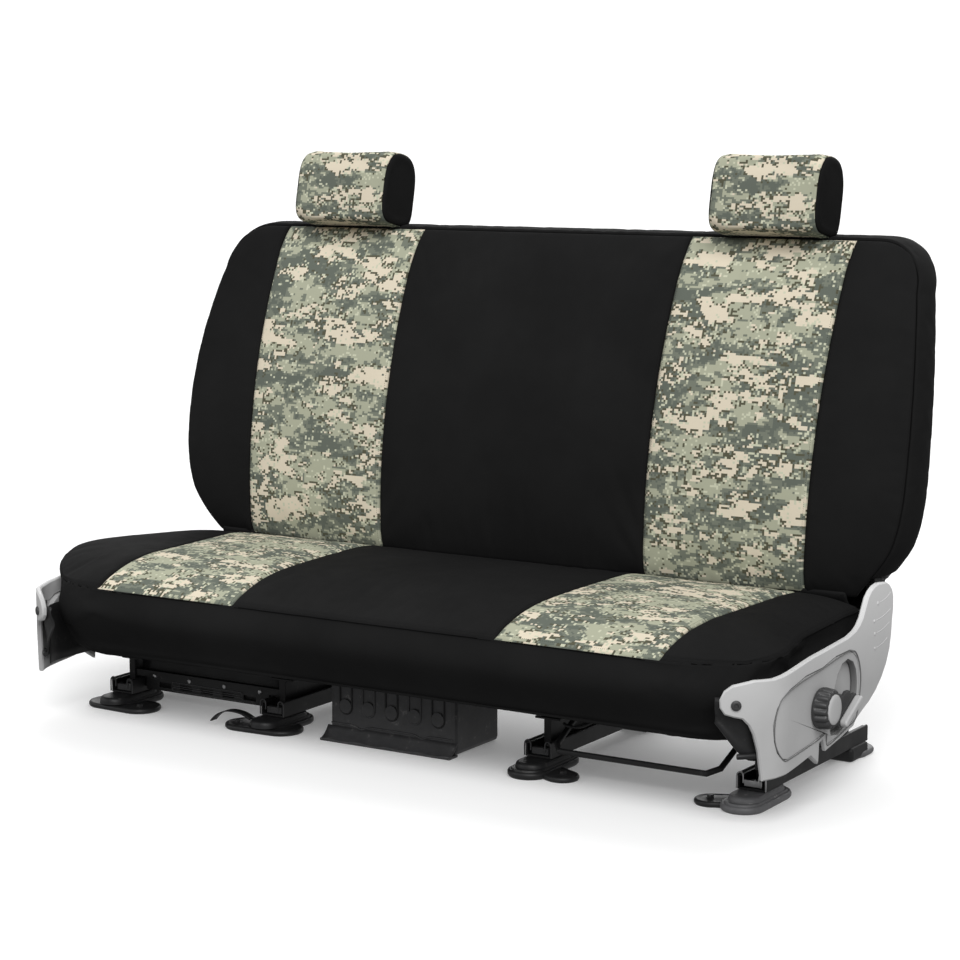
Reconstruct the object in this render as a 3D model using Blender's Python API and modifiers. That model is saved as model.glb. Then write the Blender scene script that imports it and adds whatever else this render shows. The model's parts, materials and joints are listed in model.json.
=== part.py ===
"""Truck bench seat dressed in a sewn seat cover set, as separate pieces on their joints.

Metres, +Z up. X runs along the bench, the seat faces -Y, and the floor is z = 0.
The origin lies on the floor under the middle of the bench's bounding box.
"""
import math

import bmesh
import bpy
from mathutils import Matrix, Vector

GAP = 0.0004                 # between pieces that touch
CLOTH = 0.003                # thickness of a cover panel
SEAM = 0.0006                # between neighbouring cover panels
EDGE_GAP = 0.0056            # where a face panel's turned edge meets a side panel
FOAM_INSET = 0.0070          # foam surface below the outside of the cover

# Backrest: front surface y = BACK_Y + BACK_SLOPE * h + BACK_CURVE * h^2, with h above the lumbar
LUMBAR_Z = 0.40
BACK_Y = 0.113
BACK_SLOPE = 0.06
BACK_CURVE = 0.49
BACK_TOP = 0.893
BACK_THICK_LOW = 0.147
BACK_THICK_TOP = 0.118
BACK_MID_Z = 0.53
BACK_HALF = 0.770            # half-width where the sides bulge most
BACK_NARROWING = 0.045       # towards the top
BACK_LOW_NARROWING = 0.048   # towards the rounded lower corners
BACK_CORNER = 0.085          # radius of the top corners
FRONT_EDGE = 0.020           # how far the front face turns back at its outline
REAR_EDGE = 0.020
BOXING_BULGE = 0.010         # of the sides; the top bulges TOP_BULGE
TOP_BULGE = 0.003

# Recliner pivot, with the rounded lower end of the backrest about it
PIVOT_Y = 0.185
PIVOT_Z = 0.325
ROLL = 0.0735
FOAM_LOW_HALF = 0.683        # backrest half-width beside the recliner plates
FOAM_LOW_TOP = 0.362
RECLINER_BASE_X = (0.6900, 0.6980)
RECLINER_ARM_X = (0.7005, 0.7085)
STUD_END_X = 0.7130

# Cushion
SEAT_FRONT = -0.365
SEAT_REAR = 0.106
SEAT_HALF = 0.747
SEAT_CORNER = 0.170
SEAT_SEAM_Z = 0.260
SEAT_SEAM_RISE = 0.018
SEAT_CROWN = 0.040
SEAT_CROWN_REACH = 0.070
SEAT_REAR_DROP = 0.010
SKIRT_BOTTOM = 0.140
SEAT_FOAM_BOTTOM = 0.166
SKIRT_BULGE = 0.024
SKIRT_SIDE_TUCK = 0.016

# Camouflage stripes: centre and half-width at the backrest's top, the fold and the cushion's front
STRIPE_TOP = (0.450, 0.160)
STRIPE_FOLD = (0.439, 0.156)
STRIPE_FRONT = (0.421, 0.152)

# Headrests
HEADREST_X = 0.453
HEADREST_Y = 0.284
HEADREST_Z = 0.9745
HEADREST_LEAN = math.radians(12)
HEADREST_HALF = (0.116, 0.054, 0.0715)
HEADREST_WRAP_HALF = 0.097
POST_SPREAD = 0.055
POST_BACK = 0.033            # posts behind the headrest's middle
POST_RADIUS = 0.006

# Slide tracks
TRACKS = {"left_outer": -0.658, "left_inner": -0.304, "right_inner": 0.258, "right_outer": 0.658}
RAIL_BOTTOM = 0.0244
RAIL_TOP = 0.050
RAIL_HALF = 0.025
RAIL_SHEET = 0.003
RAIL_LIP = 0.011
RAIL_Y = (-0.205, 0.205)
SLIDER_STEM = 0.007
SLIDER_Y = (-0.175, 0.165)
SLIDER_TOP = 0.088
UPRIGHT_HALF = 0.020
UPRIGHT_Y = (-0.135, -0.010, 0.115)
PAN_Z = (0.1400, 0.1620)
PAN_HALF = 0.6890
PAN_Y = (-0.325, 0.100)
PAN_MIDDLE = -0.150
PAN_FRONT_HALF = 0.600

# Plastic side shields, as a flat outline in y and z that is then bent round the front corner
SHIELD_OUTER = 0.760
SHIELD_THICK = 0.010
BEND_Y = -0.280
BEND_RADIUS = 0.115
BEZEL_OUTER = 0.758
BEZEL_THICK = 0.017
RECESS_DEPTH = 0.012
KNOB_YZ = (-0.170, 0.167)
KNOB_RADIUS = 0.034
KNOB_X = (0.7595, 0.7880)
LEVER_YZ = (-0.088, 0.152)
RELEASE_YZ = (-0.130, 0.100)   # the release bar's axis
SHIELD_OUTLINE = (
    (-0.396, 0.236, 1), (-0.324, 0.242, 1), (-0.200, 0.255, 1), (-0.093, 0.261, 1),
    (-0.033, 0.269, 1), (-0.006, 0.286, 1), (0.014, 0.316, 1), (0.040, 0.331, 1),
    (0.075, 0.332, 1), (0.106, 0.324, 1), (0.122, 0.303, 1), (0.119, 0.262, 1),
    (0.110, 0.213, 1), (0.079, 0.170, 1), (0.027, 0.137, 1), (-0.024, 0.118, 1),
    (-0.036, 0.108, 0), (-0.142, 0.090, 0), (-0.152, 0.112, 0), (-0.169, 0.108, 0),
    (-0.172, 0.075, 0), (-0.187, 0.084, 0), (-0.203, 0.094, 0), (-0.291, 0.084, 1),
    (-0.345, 0.082, 0), (-0.349, 0.105, 1), (-0.361, 0.157, 1), (-0.380, 0.183, 1),
    (-0.408, 0.190, 1), (-0.416, 0.213, 1))
LOW_REAR = ((-0.020, 0.262, 1), (0.030, 0.252, 1), (0.052, 0.222, 1), (0.048, 0.175, 1),
            (0.020, 0.140, 1))
BEZEL_OUTLINE = (
    (-0.315, 0.192, 1), (-0.283, 0.216, 1), (-0.163, 0.228, 1), (-0.058, 0.238, 1),
    (-0.025, 0.222, 1), (-0.012, 0.182, 1), (-0.023, 0.131, 1), (-0.037, 0.118, 1),
    (-0.138, 0.100, 0), (-0.149, 0.121, 0), (-0.272, 0.109, 1), (-0.300, 0.111, 1),
    (-0.320, 0.143, 1))
RECESS_OUTLINE = (
    (-0.082, 0.222, 1), (-0.038, 0.218, 1), (-0.020, 0.182, 1), (-0.030, 0.134, 1),
    (-0.060, 0.119, 1), (-0.122, 0.111, 1), (-0.124, 0.140, 1), (-0.108, 0.190, 1))

CENTRE_SHIFT = 0.0140        # brings the origin under the middle of the bounding box

# Colours: base colour, roughness, metallic
COLOURS = {
    "camo_fabric": ((0.36, 0.37, 0.29), 0.95, 0.0),
    "black_neoprene": ((0.018, 0.018, 0.018), 0.90, 0.0),
    "foam": ((0.72, 0.68, 0.52), 0.95, 0.0),
    "grey_plastic": ((0.58, 0.58, 0.57), 0.45, 0.0),
    "dark_plastic": ((0.05, 0.05, 0.05), 0.45, 0.0),
    "black_steel": ((0.025, 0.025, 0.027), 0.40, 0.6),
    "bright_steel": ((0.55, 0.55, 0.56), 0.30, 1.0),
    "board": ((0.16, 0.11, 0.07), 0.85, 0.0),
}


# ---------------------------------------------------------------- scene helpers

def empty_scene():
    for obj in list(bpy.data.objects):
        bpy.data.objects.remove(obj, do_unlink=True)


def new_collection(name):
    made = bpy.data.collections.new(name)
    bpy.context.scene.collection.children.link(made)
    return made


def move_to(obj, target):
    for owner in list(obj.users_collection):
        owner.objects.unlink(obj)
    target.objects.link(obj)


def set_material(obj, kind):
    colour, roughness, metallic = COLOURS[kind]
    made = bpy.data.materials.new(f"{obj.name}_{kind}")
    made.use_nodes = True
    shader = made.node_tree.nodes["Principled BSDF"]
    shader.inputs["Base Color"].default_value = (*colour, 1.0)
    shader.inputs["Roughness"].default_value = roughness
    shader.inputs["Metallic"].default_value = metallic
    made.diffuse_color = (*colour, 1.0)
    obj.data.materials.clear()
    obj.data.materials.append(made)


def place(obj, name, kind):
    """Names a piece, gives it its material and puts it with the parts."""
    obj.name = name
    obj.data.name = name
    move_to(obj, PARTS)
    set_material(obj, kind)
    return obj


def as_cutter(obj, name):
    obj.name = name
    move_to(obj, CUTTERS)
    obj.hide_render = True
    obj.display_type = "WIRE"
    return obj


def boolean(obj, other, operation):
    made = obj.modifiers.new(f"{operation.lower()}_{other.name}", "BOOLEAN")
    made.operation = operation
    made.solver = "EXACT"
    made.object = other


def bevel(obj, width, segments=2):
    made = obj.modifiers.new("bevel", "BEVEL")
    made.width = width
    made.segments = segments
    made.limit_method = "ANGLE"


def box(low, high):
    bpy.ops.mesh.primitive_cube_add(size=1.0)
    obj = bpy.context.object
    low, high = Vector(low), Vector(high)
    middle, size = (low + high) / 2, high - low
    obj.data.transform(Matrix.Translation(middle) @ Matrix.Diagonal((*size, 1.0)))
    return obj


def cylinder(start, end, radius, sides=16):
    """A round bar between two points."""
    start, end = Vector(start), Vector(end)
    along = end - start
    bpy.ops.mesh.primitive_cylinder_add(vertices=sides, radius=radius, depth=along.length)
    obj = bpy.context.object
    turn = along.to_track_quat("Z", "Y").to_matrix().to_4x4()
    obj.data.transform(Matrix.Translation((start + end) / 2) @ turn)
    obj.data.shade_smooth()
    obj.data.set_sharp_from_angle(angle=math.radians(40))
    return obj


def to_mesh(curve):
    """The curve's evaluated mesh as an object, with its loose caps welded."""
    graph = bpy.context.evaluated_depsgraph_get()
    mesh = bpy.data.meshes.new_from_object(curve.evaluated_get(graph))
    work = bmesh.new()
    work.from_mesh(mesh)
    bmesh.ops.remove_doubles(work, verts=work.verts, dist=0.00001)
    bmesh.ops.recalc_face_normals(work, faces=work.faces)
    work.to_mesh(mesh)
    work.free()
    obj = bpy.data.objects.new(curve.name + "_mesh", mesh)
    bpy.context.scene.collection.objects.link(obj)
    obj.matrix_world = curve.matrix_world.copy()
    mesh.transform(obj.matrix_world)
    obj.matrix_world = Matrix.Identity(4)
    bpy.data.objects.remove(curve, do_unlink=True)
    return obj


def tube(points, radius, cyclic=False):
    """A round tube along points, as a mesh."""
    data = bpy.data.curves.new("tube", "CURVE")
    data.dimensions = "3D"
    data.bevel_depth = radius
    data.bevel_resolution = 2
    data.use_fill_caps = not cyclic
    spline = data.splines.new("POLY")
    spline.points.add(len(points) - 1)
    for point, where in zip(spline.points, points):
        point.co = (*where, 1.0)
    spline.use_cyclic_u = cyclic
    obj = bpy.data.objects.new("tube", data)
    bpy.context.scene.collection.objects.link(obj)
    bpy.context.view_layer.update()
    return to_mesh(obj)


def add_outline(data, outline):
    """A closed spline through (a, b, round) points: 1 is a smooth point and 0 a corner."""
    spline = data.splines.new("BEZIER")
    spline.bezier_points.add(len(outline) - 1)
    for point, (a, b, smooth) in zip(spline.bezier_points, outline):
        point.co = (a, b, 0.0)
        kind = "AUTO" if smooth else "VECTOR"
        point.handle_left_type = kind
        point.handle_right_type = kind
    spline.use_cyclic_u = True
    spline.resolution_u = 2


def plate(outlines, x_low, x_high, round_edge=0.0):
    """A flat plate in the y-z plane, from its outline and its holes, x_low to x_high thick."""
    data = bpy.data.curves.new("plate", "CURVE")
    data.dimensions = "2D"
    data.fill_mode = "BOTH"
    data.extrude = (x_high - x_low) / 2 - round_edge
    data.bevel_depth = round_edge
    data.bevel_resolution = 0
    data.offset = -round_edge
    for outline in outlines:
        add_outline(data, outline)
    obj = bpy.data.objects.new("plate", data)
    bpy.context.scene.collection.objects.link(obj)
    upright = Matrix(((0, 0, 1, 0), (1, 0, 0, 0), (0, 1, 0, 0), (0, 0, 0, 1)))
    obj.matrix_world = Matrix.Translation(((x_low + x_high) / 2, 0, 0)) @ upright
    bpy.context.view_layer.update()
    return to_mesh(obj)


def profile_bar(outline, y_low, y_high):
    """A bar along Y whose section is a closed polygon of (x, z) points."""
    data = bpy.data.curves.new("bar", "CURVE")
    data.dimensions = "2D"
    data.fill_mode = "BOTH"
    data.extrude = (y_high - y_low) / 2
    spline = data.splines.new("POLY")
    spline.points.add(len(outline) - 1)
    for point, (x, z) in zip(spline.points, outline):
        point.co = (x, z, 0.0, 1.0)
    spline.use_cyclic_u = True
    obj = bpy.data.objects.new("bar", data)
    bpy.context.scene.collection.objects.link(obj)
    upright = Matrix(((1, 0, 0, 0), (0, 0, -1, 0), (0, 1, 0, 0), (0, 0, 0, 1)))
    obj.matrix_world = Matrix.Translation((0, (y_low + y_high) / 2, 0)) @ upright
    bpy.context.view_layer.update()
    return to_mesh(obj)


def loft(rings):
    """A solid through closed rings of equal length, capped at both ends."""
    work = bmesh.new()
    rows = [[work.verts.new(point) for point in ring] for ring in rings]
    count = len(rows[0])
    for low, high in zip(rows, rows[1:]):
        for i in range(count):
            j = (i + 1) % count
            work.faces.new((low[i], low[j], high[j], high[i]))
    work.faces.new(rows[0])
    work.faces.new(rows[-1])
    bmesh.ops.recalc_face_normals(work, faces=work.faces)
    mesh = bpy.data.meshes.new("loft")
    work.to_mesh(mesh)
    work.free()
    obj = bpy.data.objects.new("loft", mesh)
    bpy.context.scene.collection.objects.link(obj)
    mesh.shade_smooth()
    mesh.set_sharp_from_angle(angle=math.radians(50))
    return obj


def sheet(columns, rows, surface, flip=False, thickness=CLOTH):
    """A cover panel: a grid laid on surface(u, v), thickened inwards."""
    bpy.ops.mesh.primitive_grid_add(x_subdivisions=columns, y_subdivisions=rows, size=2.0)
    obj = bpy.context.object
    for vertex in obj.data.vertices:
        u, v = (vertex.co.x + 1) / 2, (vertex.co.y + 1) / 2
        vertex.co = surface(u, v)
    if flip:
        obj.data.flip_normals()
    solid = obj.modifiers.new("solidify", "SOLIDIFY")
    solid.thickness = thickness
    solid.offset = -1.0
    solid.use_even_offset = True
    obj.data.shade_smooth()
    return obj


def lerp(a, b, t):
    return a + (b - a) * t


def sides():
    """The two ends of the bench: its name and the sign of x there."""
    return (("left", -1), ("right", 1))


# ---------------------------------------------------------------- backrest surface

def back_front(z):
    """y of the backrest's front face on its centre line."""
    if z < PIVOT_Z:
        return PIVOT_Y - math.sqrt(max(ROLL ** 2 - (z - PIVOT_Z) ** 2, 0.0))
    h = z - LUMBAR_Z
    return BACK_Y + BACK_SLOPE * h + BACK_CURVE * h * h


def back_rear(z):
    if z < PIVOT_Z:
        return PIVOT_Y + math.sqrt(max(ROLL ** 2 - (z - PIVOT_Z) ** 2, 0.0))
    share = (z - PIVOT_Z) / (BACK_TOP - PIVOT_Z)
    return back_front(z) + lerp(BACK_THICK_LOW, BACK_THICK_TOP, share)


def back_side(z):
    """Half-width of the backrest's outline, below its top corners."""
    if z < BACK_MID_Z:
        return BACK_HALF - BACK_LOW_NARROWING * ((BACK_MID_Z - z) / 0.21) ** 3
    return BACK_HALF - BACK_NARROWING * ((z - BACK_MID_Z) / 0.35) ** 2


def back_half(z):
    """Half-width of the outline at any height, with the rounded top corners."""
    corner_z = BACK_TOP - BACK_CORNER
    if z <= corner_z:
        return back_side(z)
    rise = min(z - corner_z, BACK_CORNER)
    return back_side(corner_z) - BACK_CORNER + math.sqrt(BACK_CORNER ** 2 - rise ** 2)


def turn_back(x, z):
    """0 in the middle of the face and 1 at its outline."""
    across = abs(x) / max(back_half(z), 0.1)
    up = max(z - 0.60, 0.0) / (BACK_TOP - 0.60)
    return min(max(across, up), 1.0) ** 9


def front_point(x, z, inset=0.0):
    return (x, back_front(z) + FRONT_EDGE * turn_back(x, z) + inset, z)


def rear_point(x, z, inset=0.0):
    return (x, back_rear(z) - REAR_EDGE * turn_back(x, z) - inset, z)


def roll_ring(degrees, half, inset):
    """A level section of the rounded lower end, this angle below the pivot's level."""
    radius = ROLL - inset
    z = PIVOT_Z - radius * math.sin(math.radians(degrees))
    depth = radius * math.cos(math.radians(degrees))
    shift = (PIVOT_Y - depth, PIVOT_Y + depth)
    xs = [lerp(-half, half, k / 10) for k in range(11)]
    front = [(x, shift[0] + FRONT_EDGE * turn_back(x, z), z) for x in xs]
    rear = [(x, shift[1] - REAR_EDGE * turn_back(x, z), z) for x in reversed(xs)]
    side = half + 0.006
    return front + [(side, PIVOT_Y, z)] + rear + [(-side, PIVOT_Y, z)]


def back_levels(low, high, count):
    """Heights from low to high, closer together round the top corners."""
    return [lerp(low, high, 1 - (1 - k / count) ** 1.35) for k in range(count + 1)]


def back_ring(z, half, inset, columns=10):
    """A level section of the backrest: its front, right end, rear and left end."""
    xs = [lerp(-half, half, k / columns) for k in range(columns + 1)]
    front = [front_point(x, z, inset) for x in xs]
    rear = [rear_point(x, z, inset) for x in reversed(xs)]
    middle = (front[-1][1] + rear[0][1]) / 2
    side = half + BOXING_BULGE * 0.6
    return front + [(side, middle, z)] + rear + [(-side, middle, z)]


def stripe_edge(z, side):
    """x of a stripe's inner (-1) or outer (+1) seam on the backrest."""
    share = min(max((z - PIVOT_Z) / (BACK_TOP - PIVOT_Z), 0.0), 1.0)
    centre = lerp(STRIPE_FOLD[0], STRIPE_TOP[0], share)
    half = lerp(STRIPE_FOLD[1], STRIPE_TOP[1], share)
    return centre + side * half


def roll_z(degrees):
    """Height on the rounded lower end, at this angle below the pivot's level."""
    return PIVOT_Z - ROLL * math.sin(math.radians(degrees))


# ---------------------------------------------------------------- cushion surface

def seat_front_at(x):
    """y of the cushion's outline at its front, with the large rounded corners."""
    over = abs(x) - (SEAT_HALF - SEAT_CORNER)
    if over <= 0:
        return SEAT_FRONT
    return SEAT_FRONT + SEAT_CORNER - math.sqrt(max(SEAT_CORNER ** 2 - over ** 2, 0.0))


def seat_inside(x, y):
    """How far a point lies inside the cushion's outline."""
    over_x = abs(x) - (SEAT_HALF - SEAT_CORNER)
    over_y = SEAT_FRONT + SEAT_CORNER - y
    outside = math.hypot(max(over_x, 0.0), max(over_y, 0.0))
    return max(SEAT_CORNER - outside - min(max(over_x, over_y), 0.0), 0.0)


def seam_z(y):
    """Height of the seam round the cushion's top."""
    return SEAT_SEAM_Z + SEAT_SEAM_RISE * min(max((y + 0.30) / 0.35, 0.0), 1.0)


def seat_top(x, y):
    """Height of the cushion's crowned top."""
    crown = 1 - math.exp(-seat_inside(x, y) / SEAT_CROWN_REACH)
    level = SEAT_SEAM_RISE * min(max((y + 0.30) / 0.35, 0.0), 1.0)
    drop = SEAT_REAR_DROP * math.exp(-(SEAT_REAR - y) / 0.030)
    return SEAT_SEAM_Z + level + (SEAT_CROWN - 0.9 * level - drop) * crown


def seat_outline(count_side, count_corner, count_front):
    """Points (x, y, nx, ny) from the right rear, round the front, to the left rear."""
    right = []
    corner_y = SEAT_FRONT + SEAT_CORNER
    corner_x = SEAT_HALF - SEAT_CORNER
    for k in range(count_side):
        right.append((SEAT_HALF, lerp(SEAT_REAR, corner_y, k / count_side), 1.0, 0.0))
    for k in range(count_corner):
        angle = math.radians(90) * k / count_corner
        nx, ny = math.cos(angle), -math.sin(angle)
        right.append((corner_x + SEAT_CORNER * nx, corner_y + SEAT_CORNER * ny, nx, ny))
    for k in range(count_front):
        right.append((lerp(corner_x, 0.0, k / count_front), SEAT_FRONT, 0.0, -1.0))
    left = [(-x, y, -nx, ny) for x, y, nx, ny in reversed(right)]
    return right + [(0.0, SEAT_FRONT, 0.0, -1.0)] + left


def skirt_point(spot, share, inset=0.0):
    """A point on the cushion's skirt, share 0 at the top seam and 1 at its lower edge."""
    x, y, nx, ny = spot
    facing = max(-ny, 0.0)
    bulge = SKIRT_BULGE * math.sin(math.pi * min(share, 1.0) * 0.62)
    tuck = -SKIRT_SIDE_TUCK * min(share * 3.2, 1.0)
    out = lerp(tuck, bulge, facing) - inset
    z = lerp(seam_z(y), SKIRT_BOTTOM, share)
    return (x + nx * out, y + ny * out, z)


def stripe_edge_seat(y, side):
    share = min(max((y - SEAT_FRONT) / (SEAT_REAR - SEAT_FRONT), 0.0), 1.0)
    centre = lerp(STRIPE_FRONT[0], STRIPE_FOLD[0], share)
    half = lerp(STRIPE_FRONT[1], STRIPE_FOLD[1], share)
    return centre + side * half


# ---------------------------------------------------------------- cover panels

def strip_bounds(edge, outer):
    """Names of the five panels with their left and right edges, as functions of one coordinate."""
    half = SEAM / 2
    return (
        ("left_bolster", lambda t: -outer(t), lambda t: -edge(t, 1) - half),
        ("left_insert", lambda t: -edge(t, 1) + half, lambda t: -edge(t, -1) - half),
        ("center", lambda t: -edge(t, -1) + half, lambda t: edge(t, -1) - half),
        ("right_insert", lambda t: edge(t, -1) + half, lambda t: edge(t, 1) - half),
        ("right_bolster", lambda t: edge(t, 1) + half, lambda t: outer(t)),
    )


def kind_of_strip(name):
    return "camo_fabric" if name.endswith("insert") else "black_neoprene"


def make_back_panels():
    low = roll_z(25)
    top = BACK_TOP - 0.002
    levels = [low, (low + PIVOT_Z) / 2] + back_levels(PIVOT_Z, top, 12)
    rows = len(levels) - 1
    for name, left, right in strip_bounds(stripe_edge, back_half):
        columns = 5 if name == "center" else 3

        def surface(u, v, left=left, right=right):
            z = levels[round(v * rows)]
            return front_point(lerp(left(z), right(z), u), z)

        made = sheet(columns, rows, surface)
        place(made, f"back_cover_{name}", kind_of_strip(name))


def back_outline():
    """Points (x, z, nx, nz) of the backrest's outline, from right low, over the top, to left low."""
    right = []
    corner_z = BACK_TOP - BACK_CORNER
    corner_x = back_side(corner_z) - BACK_CORNER
    for k in range(8):
        z = lerp(PIVOT_Z - 0.005, corner_z, k / 8)
        right.append((back_side(z), z, 1.0, 0.0))
    for k in range(6):
        angle = math.radians(90) * k / 6
        nx, nz = math.cos(angle), math.sin(angle)
        right.append((corner_x + BACK_CORNER * nx, corner_z + BACK_CORNER * nz, nx, nz))
    for k in range(7):
        right.append((lerp(corner_x, 0.0, k / 7), BACK_TOP, 0.0, 1.0))
    left = [(-x, z, -nx, nz) for x, z, nx, nz in reversed(right)]
    return right + [(0.0, BACK_TOP, 0.0, 1.0)] + left


def make_back_boxing():
    spots = back_outline()
    last = len(spots) - 1

    def surface(u, v):
        x, z, nx, nz = spots[round(u * last)]
        front = back_front(z) + FRONT_EDGE + EDGE_GAP
        rear = back_rear(z) - REAR_EDGE - EDGE_GAP
        bulge = lerp(BOXING_BULGE, TOP_BULGE, max(nz, 0.0))
        out = bulge * 4 * v * (1 - v) + 0.0008
        return (x + nx * out, lerp(front, rear, v), z + nz * out)

    made = sheet(last, 4, surface, flip=True)
    place(made, "back_cover_boxing", "black_neoprene")
    for side in (-1, 1):
        for leg in (-1, 1):
            x = side * HEADREST_X + leg * POST_SPREAD
            low, high = post_point(x, -0.10), post_point(x, -0.03)
            hole = as_cutter(cylinder(low, high, 0.011, 12), f"post_hole_{side}_{leg}")
            boolean(made, hole, "DIFFERENCE")


def make_back_rear_panel():
    """The rear of the cover, which carries on under the backrest's rounded lower end."""
    levels = list(reversed(back_levels(PIVOT_Z, BACK_TOP - 0.002, 10)))
    under = [math.radians(a) for a in (25, 50, 75, 100, 125, 150)]
    rows = len(levels) - 1 + len(under)

    def surface(u, v):
        k = round(v * rows)
        side = 2 * u - 1
        if k < len(levels):
            z = levels[k]
            half = back_half(z) if z > FOAM_LOW_TOP + 0.02 else FOAM_LOW_HALF - 0.006
            return rear_point(side * half, z)
        angle = under[k - len(levels)]
        y = PIVOT_Y + ROLL * math.cos(angle)
        return (side * (FOAM_LOW_HALF - 0.006), y, PIVOT_Z - ROLL * math.sin(angle))

    made = sheet(10, rows, surface)
    place(made, "back_cover_rear_panel", "black_neoprene")


def make_seat_panels():
    rows = 9

    def outer_at(t):
        """Half-width of the cushion's outline where the row t of the top crosses it."""
        y = lerp(SEAT_FRONT, SEAT_REAR, t)
        over = SEAT_FRONT + SEAT_CORNER - y
        if over <= 0:
            return SEAT_HALF
        return SEAT_HALF - SEAT_CORNER + math.sqrt(max(SEAT_CORNER ** 2 - over ** 2, 0.0))

    def edge_at(t, side):
        return stripe_edge_seat(lerp(SEAT_FRONT, SEAT_REAR, t), side)

    for name, left, right in strip_bounds(edge_at, outer_at):
        columns = 5 if name == "center" else 4

        def surface(u, v, left=left, right=right):
            t = v * v * (3 - 2 * v)
            x = lerp(left(t), right(t), u)
            y = lerp(SEAT_FRONT, SEAT_REAR, t)
            return (x, y, seat_top(x, y))

        def corner_surface(u, v, left=left, right=right, name=name):
            across = 1 - (1 - u) ** 1.5 if name.startswith("right") else u ** 1.5
            x = lerp(left(1.0), right(1.0), across)
            y = lerp(seat_front_at(x), SEAT_REAR, v * v * (3 - 2 * v))
            return (x, y, seat_top(x, y))

        bolster = name.endswith("bolster")
        made = sheet(columns + bolster, rows, corner_surface if bolster else surface)
        place(made, f"seat_cover_{name}", kind_of_strip(name))


def make_seat_band():
    spots = seat_outline(5, 8, 6)
    last = len(spots) - 1
    shares = (0.0, 0.2, 0.4, 0.6, 0.8, 1.0)

    def surface(u, v):
        spot = spots[round(u * last)]
        k = round(v * 6)
        if k < 6:
            x, y, z = skirt_point(spot, shares[k], -0.0008 if k == 0 else 0.0)
            return (x, y, z - EDGE_GAP if k == 0 else z)
        return (*skirt_point(spot, 1.0, 0.016)[:2], SKIRT_BOTTOM - 0.005)

    made = sheet(last, 6, surface)
    place(made, "seat_cover_skirt", "black_neoprene")


# ---------------------------------------------------------------- foams

def make_back_foam():
    inset = FOAM_INSET
    rings = []
    for degrees in (75, 55, 35, 15):
        rings.append(roll_ring(degrees, FOAM_LOW_HALF - 0.010, inset))
    for z in (PIVOT_Z, FOAM_LOW_TOP):
        rings.append(back_ring(z, FOAM_LOW_HALF - 0.010, inset))
    for z in back_levels(FOAM_LOW_TOP + 0.016, BACK_TOP - inset - 0.002, 9):
        rings.append(back_ring(z, back_half(z) - inset - 0.002, inset))
    foam = place(loft(rings), "back_foam", "foam")
    boolean(foam, as_cutter(rear_pocket(0.622, 0.400, 0.832, 0.052), "frame_pocket"), "DIFFERENCE")
    boolean(foam, as_cutter(rear_pocket(0.270, 0.420, 0.620, 0.105), "lumbar_pocket"), "DIFFERENCE")
    for name, side in sides():
        near, far = sorted((side * (RECLINER_ARM_X[0] - 0.0007), side * 0.82))
        notch = box((near, 0.150, 0.345), (far, 0.222, 0.575))
        boolean(foam, as_cutter(notch, f"arm_notch_{name}"), "DIFFERENCE")
        well = socket_block(side, 0.0010, top=0.05)
        boolean(foam, as_cutter(well, f"socket_well_{name}"), "DIFFERENCE")


def rear_pocket(half, low, high, depth):
    """A cutter that follows the backrest's rear, depth deep."""
    rings = []
    for k in range(9):
        z = lerp(low, high, k / 8)
        inner, outer = back_rear(z) - depth, back_rear(z) + 0.03
        rings.append([(-half, inner, z), (half, inner, z), (half, outer, z), (-half, outer, z)])
    return loft(rings)


def make_seat_foam():
    inset = FOAM_INSET
    spots = seat_outline(5, 8, 6)
    rings = []
    for share, drop in ((0.0, 0.010), (0.2, 0.0), (0.45, 0.0), (0.76, 0.0)):
        ring = []
        for spot in spots:
            x, y, z = skirt_point(spot, share, inset)
            if share == 0.76:
                z = SEAT_FOAM_BOTTOM
            ring.append((x, min(y, SEAT_REAR - inset), z - drop))
        rings.append(ring)
    rings.reverse()
    for scale in (0.97, 0.90, 0.78, 0.55):
        ring = []
        for x, y, _, _ in spots:
            px = x * scale
            py = lerp(-0.03, y, scale) if y < SEAT_REAR - 0.01 else y - inset
            py = min(py, SEAT_REAR - inset)
            ring.append((px, py, seat_top(px, py) - inset - 0.001))
        rings.append(ring)
    place(loft(rings), "cushion_foam", "foam")


# ---------------------------------------------------------------- headrests

def post_point(x, along):
    """A point on a headrest post's line, measured up its lean from the headrest's middle."""
    lean = HEADREST_LEAN
    y = HEADREST_Y + POST_BACK + math.sin(lean) * along
    return Vector((x, y, HEADREST_Z + math.cos(lean) * along))


def headrest_point(centre_x, x, angle, inset=0.0):
    """A point on the headrest's surface: x along it and angle round it, from the bottom forwards."""
    long_half, depth, height = (v - inset for v in HEADREST_HALF)
    scale = max(1 - (abs(x) / long_half) ** 14, 0.0) ** (1 / 3)
    a, b = -math.sin(angle), -math.cos(angle)
    power = 2 / 2.7
    across = math.copysign(abs(a) ** power, a) * depth * scale
    up = math.copysign(abs(b) ** power, b) * height * scale
    lean = HEADREST_LEAN
    y = HEADREST_Y + across * math.cos(lean) + up * math.sin(lean)
    z = HEADREST_Z - across * math.sin(lean) + up * math.cos(lean)
    return (centre_x + x, y, z)


def socket_block(side, grow=0.0, top=0.0):
    """The sleeve block that holds both posts, in line with them."""
    half = (POST_SPREAD + 0.013 + grow, 0.0125 + grow, 0.040 + grow + top / 2)
    made = box([-v for v in half], half)
    lean = Matrix.Rotation(-HEADREST_LEAN, 4, "X")
    middle = post_point(side * HEADREST_X, -0.128 + top / 2)
    made.data.transform(Matrix.Translation(middle) @ lean)
    return made


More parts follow.
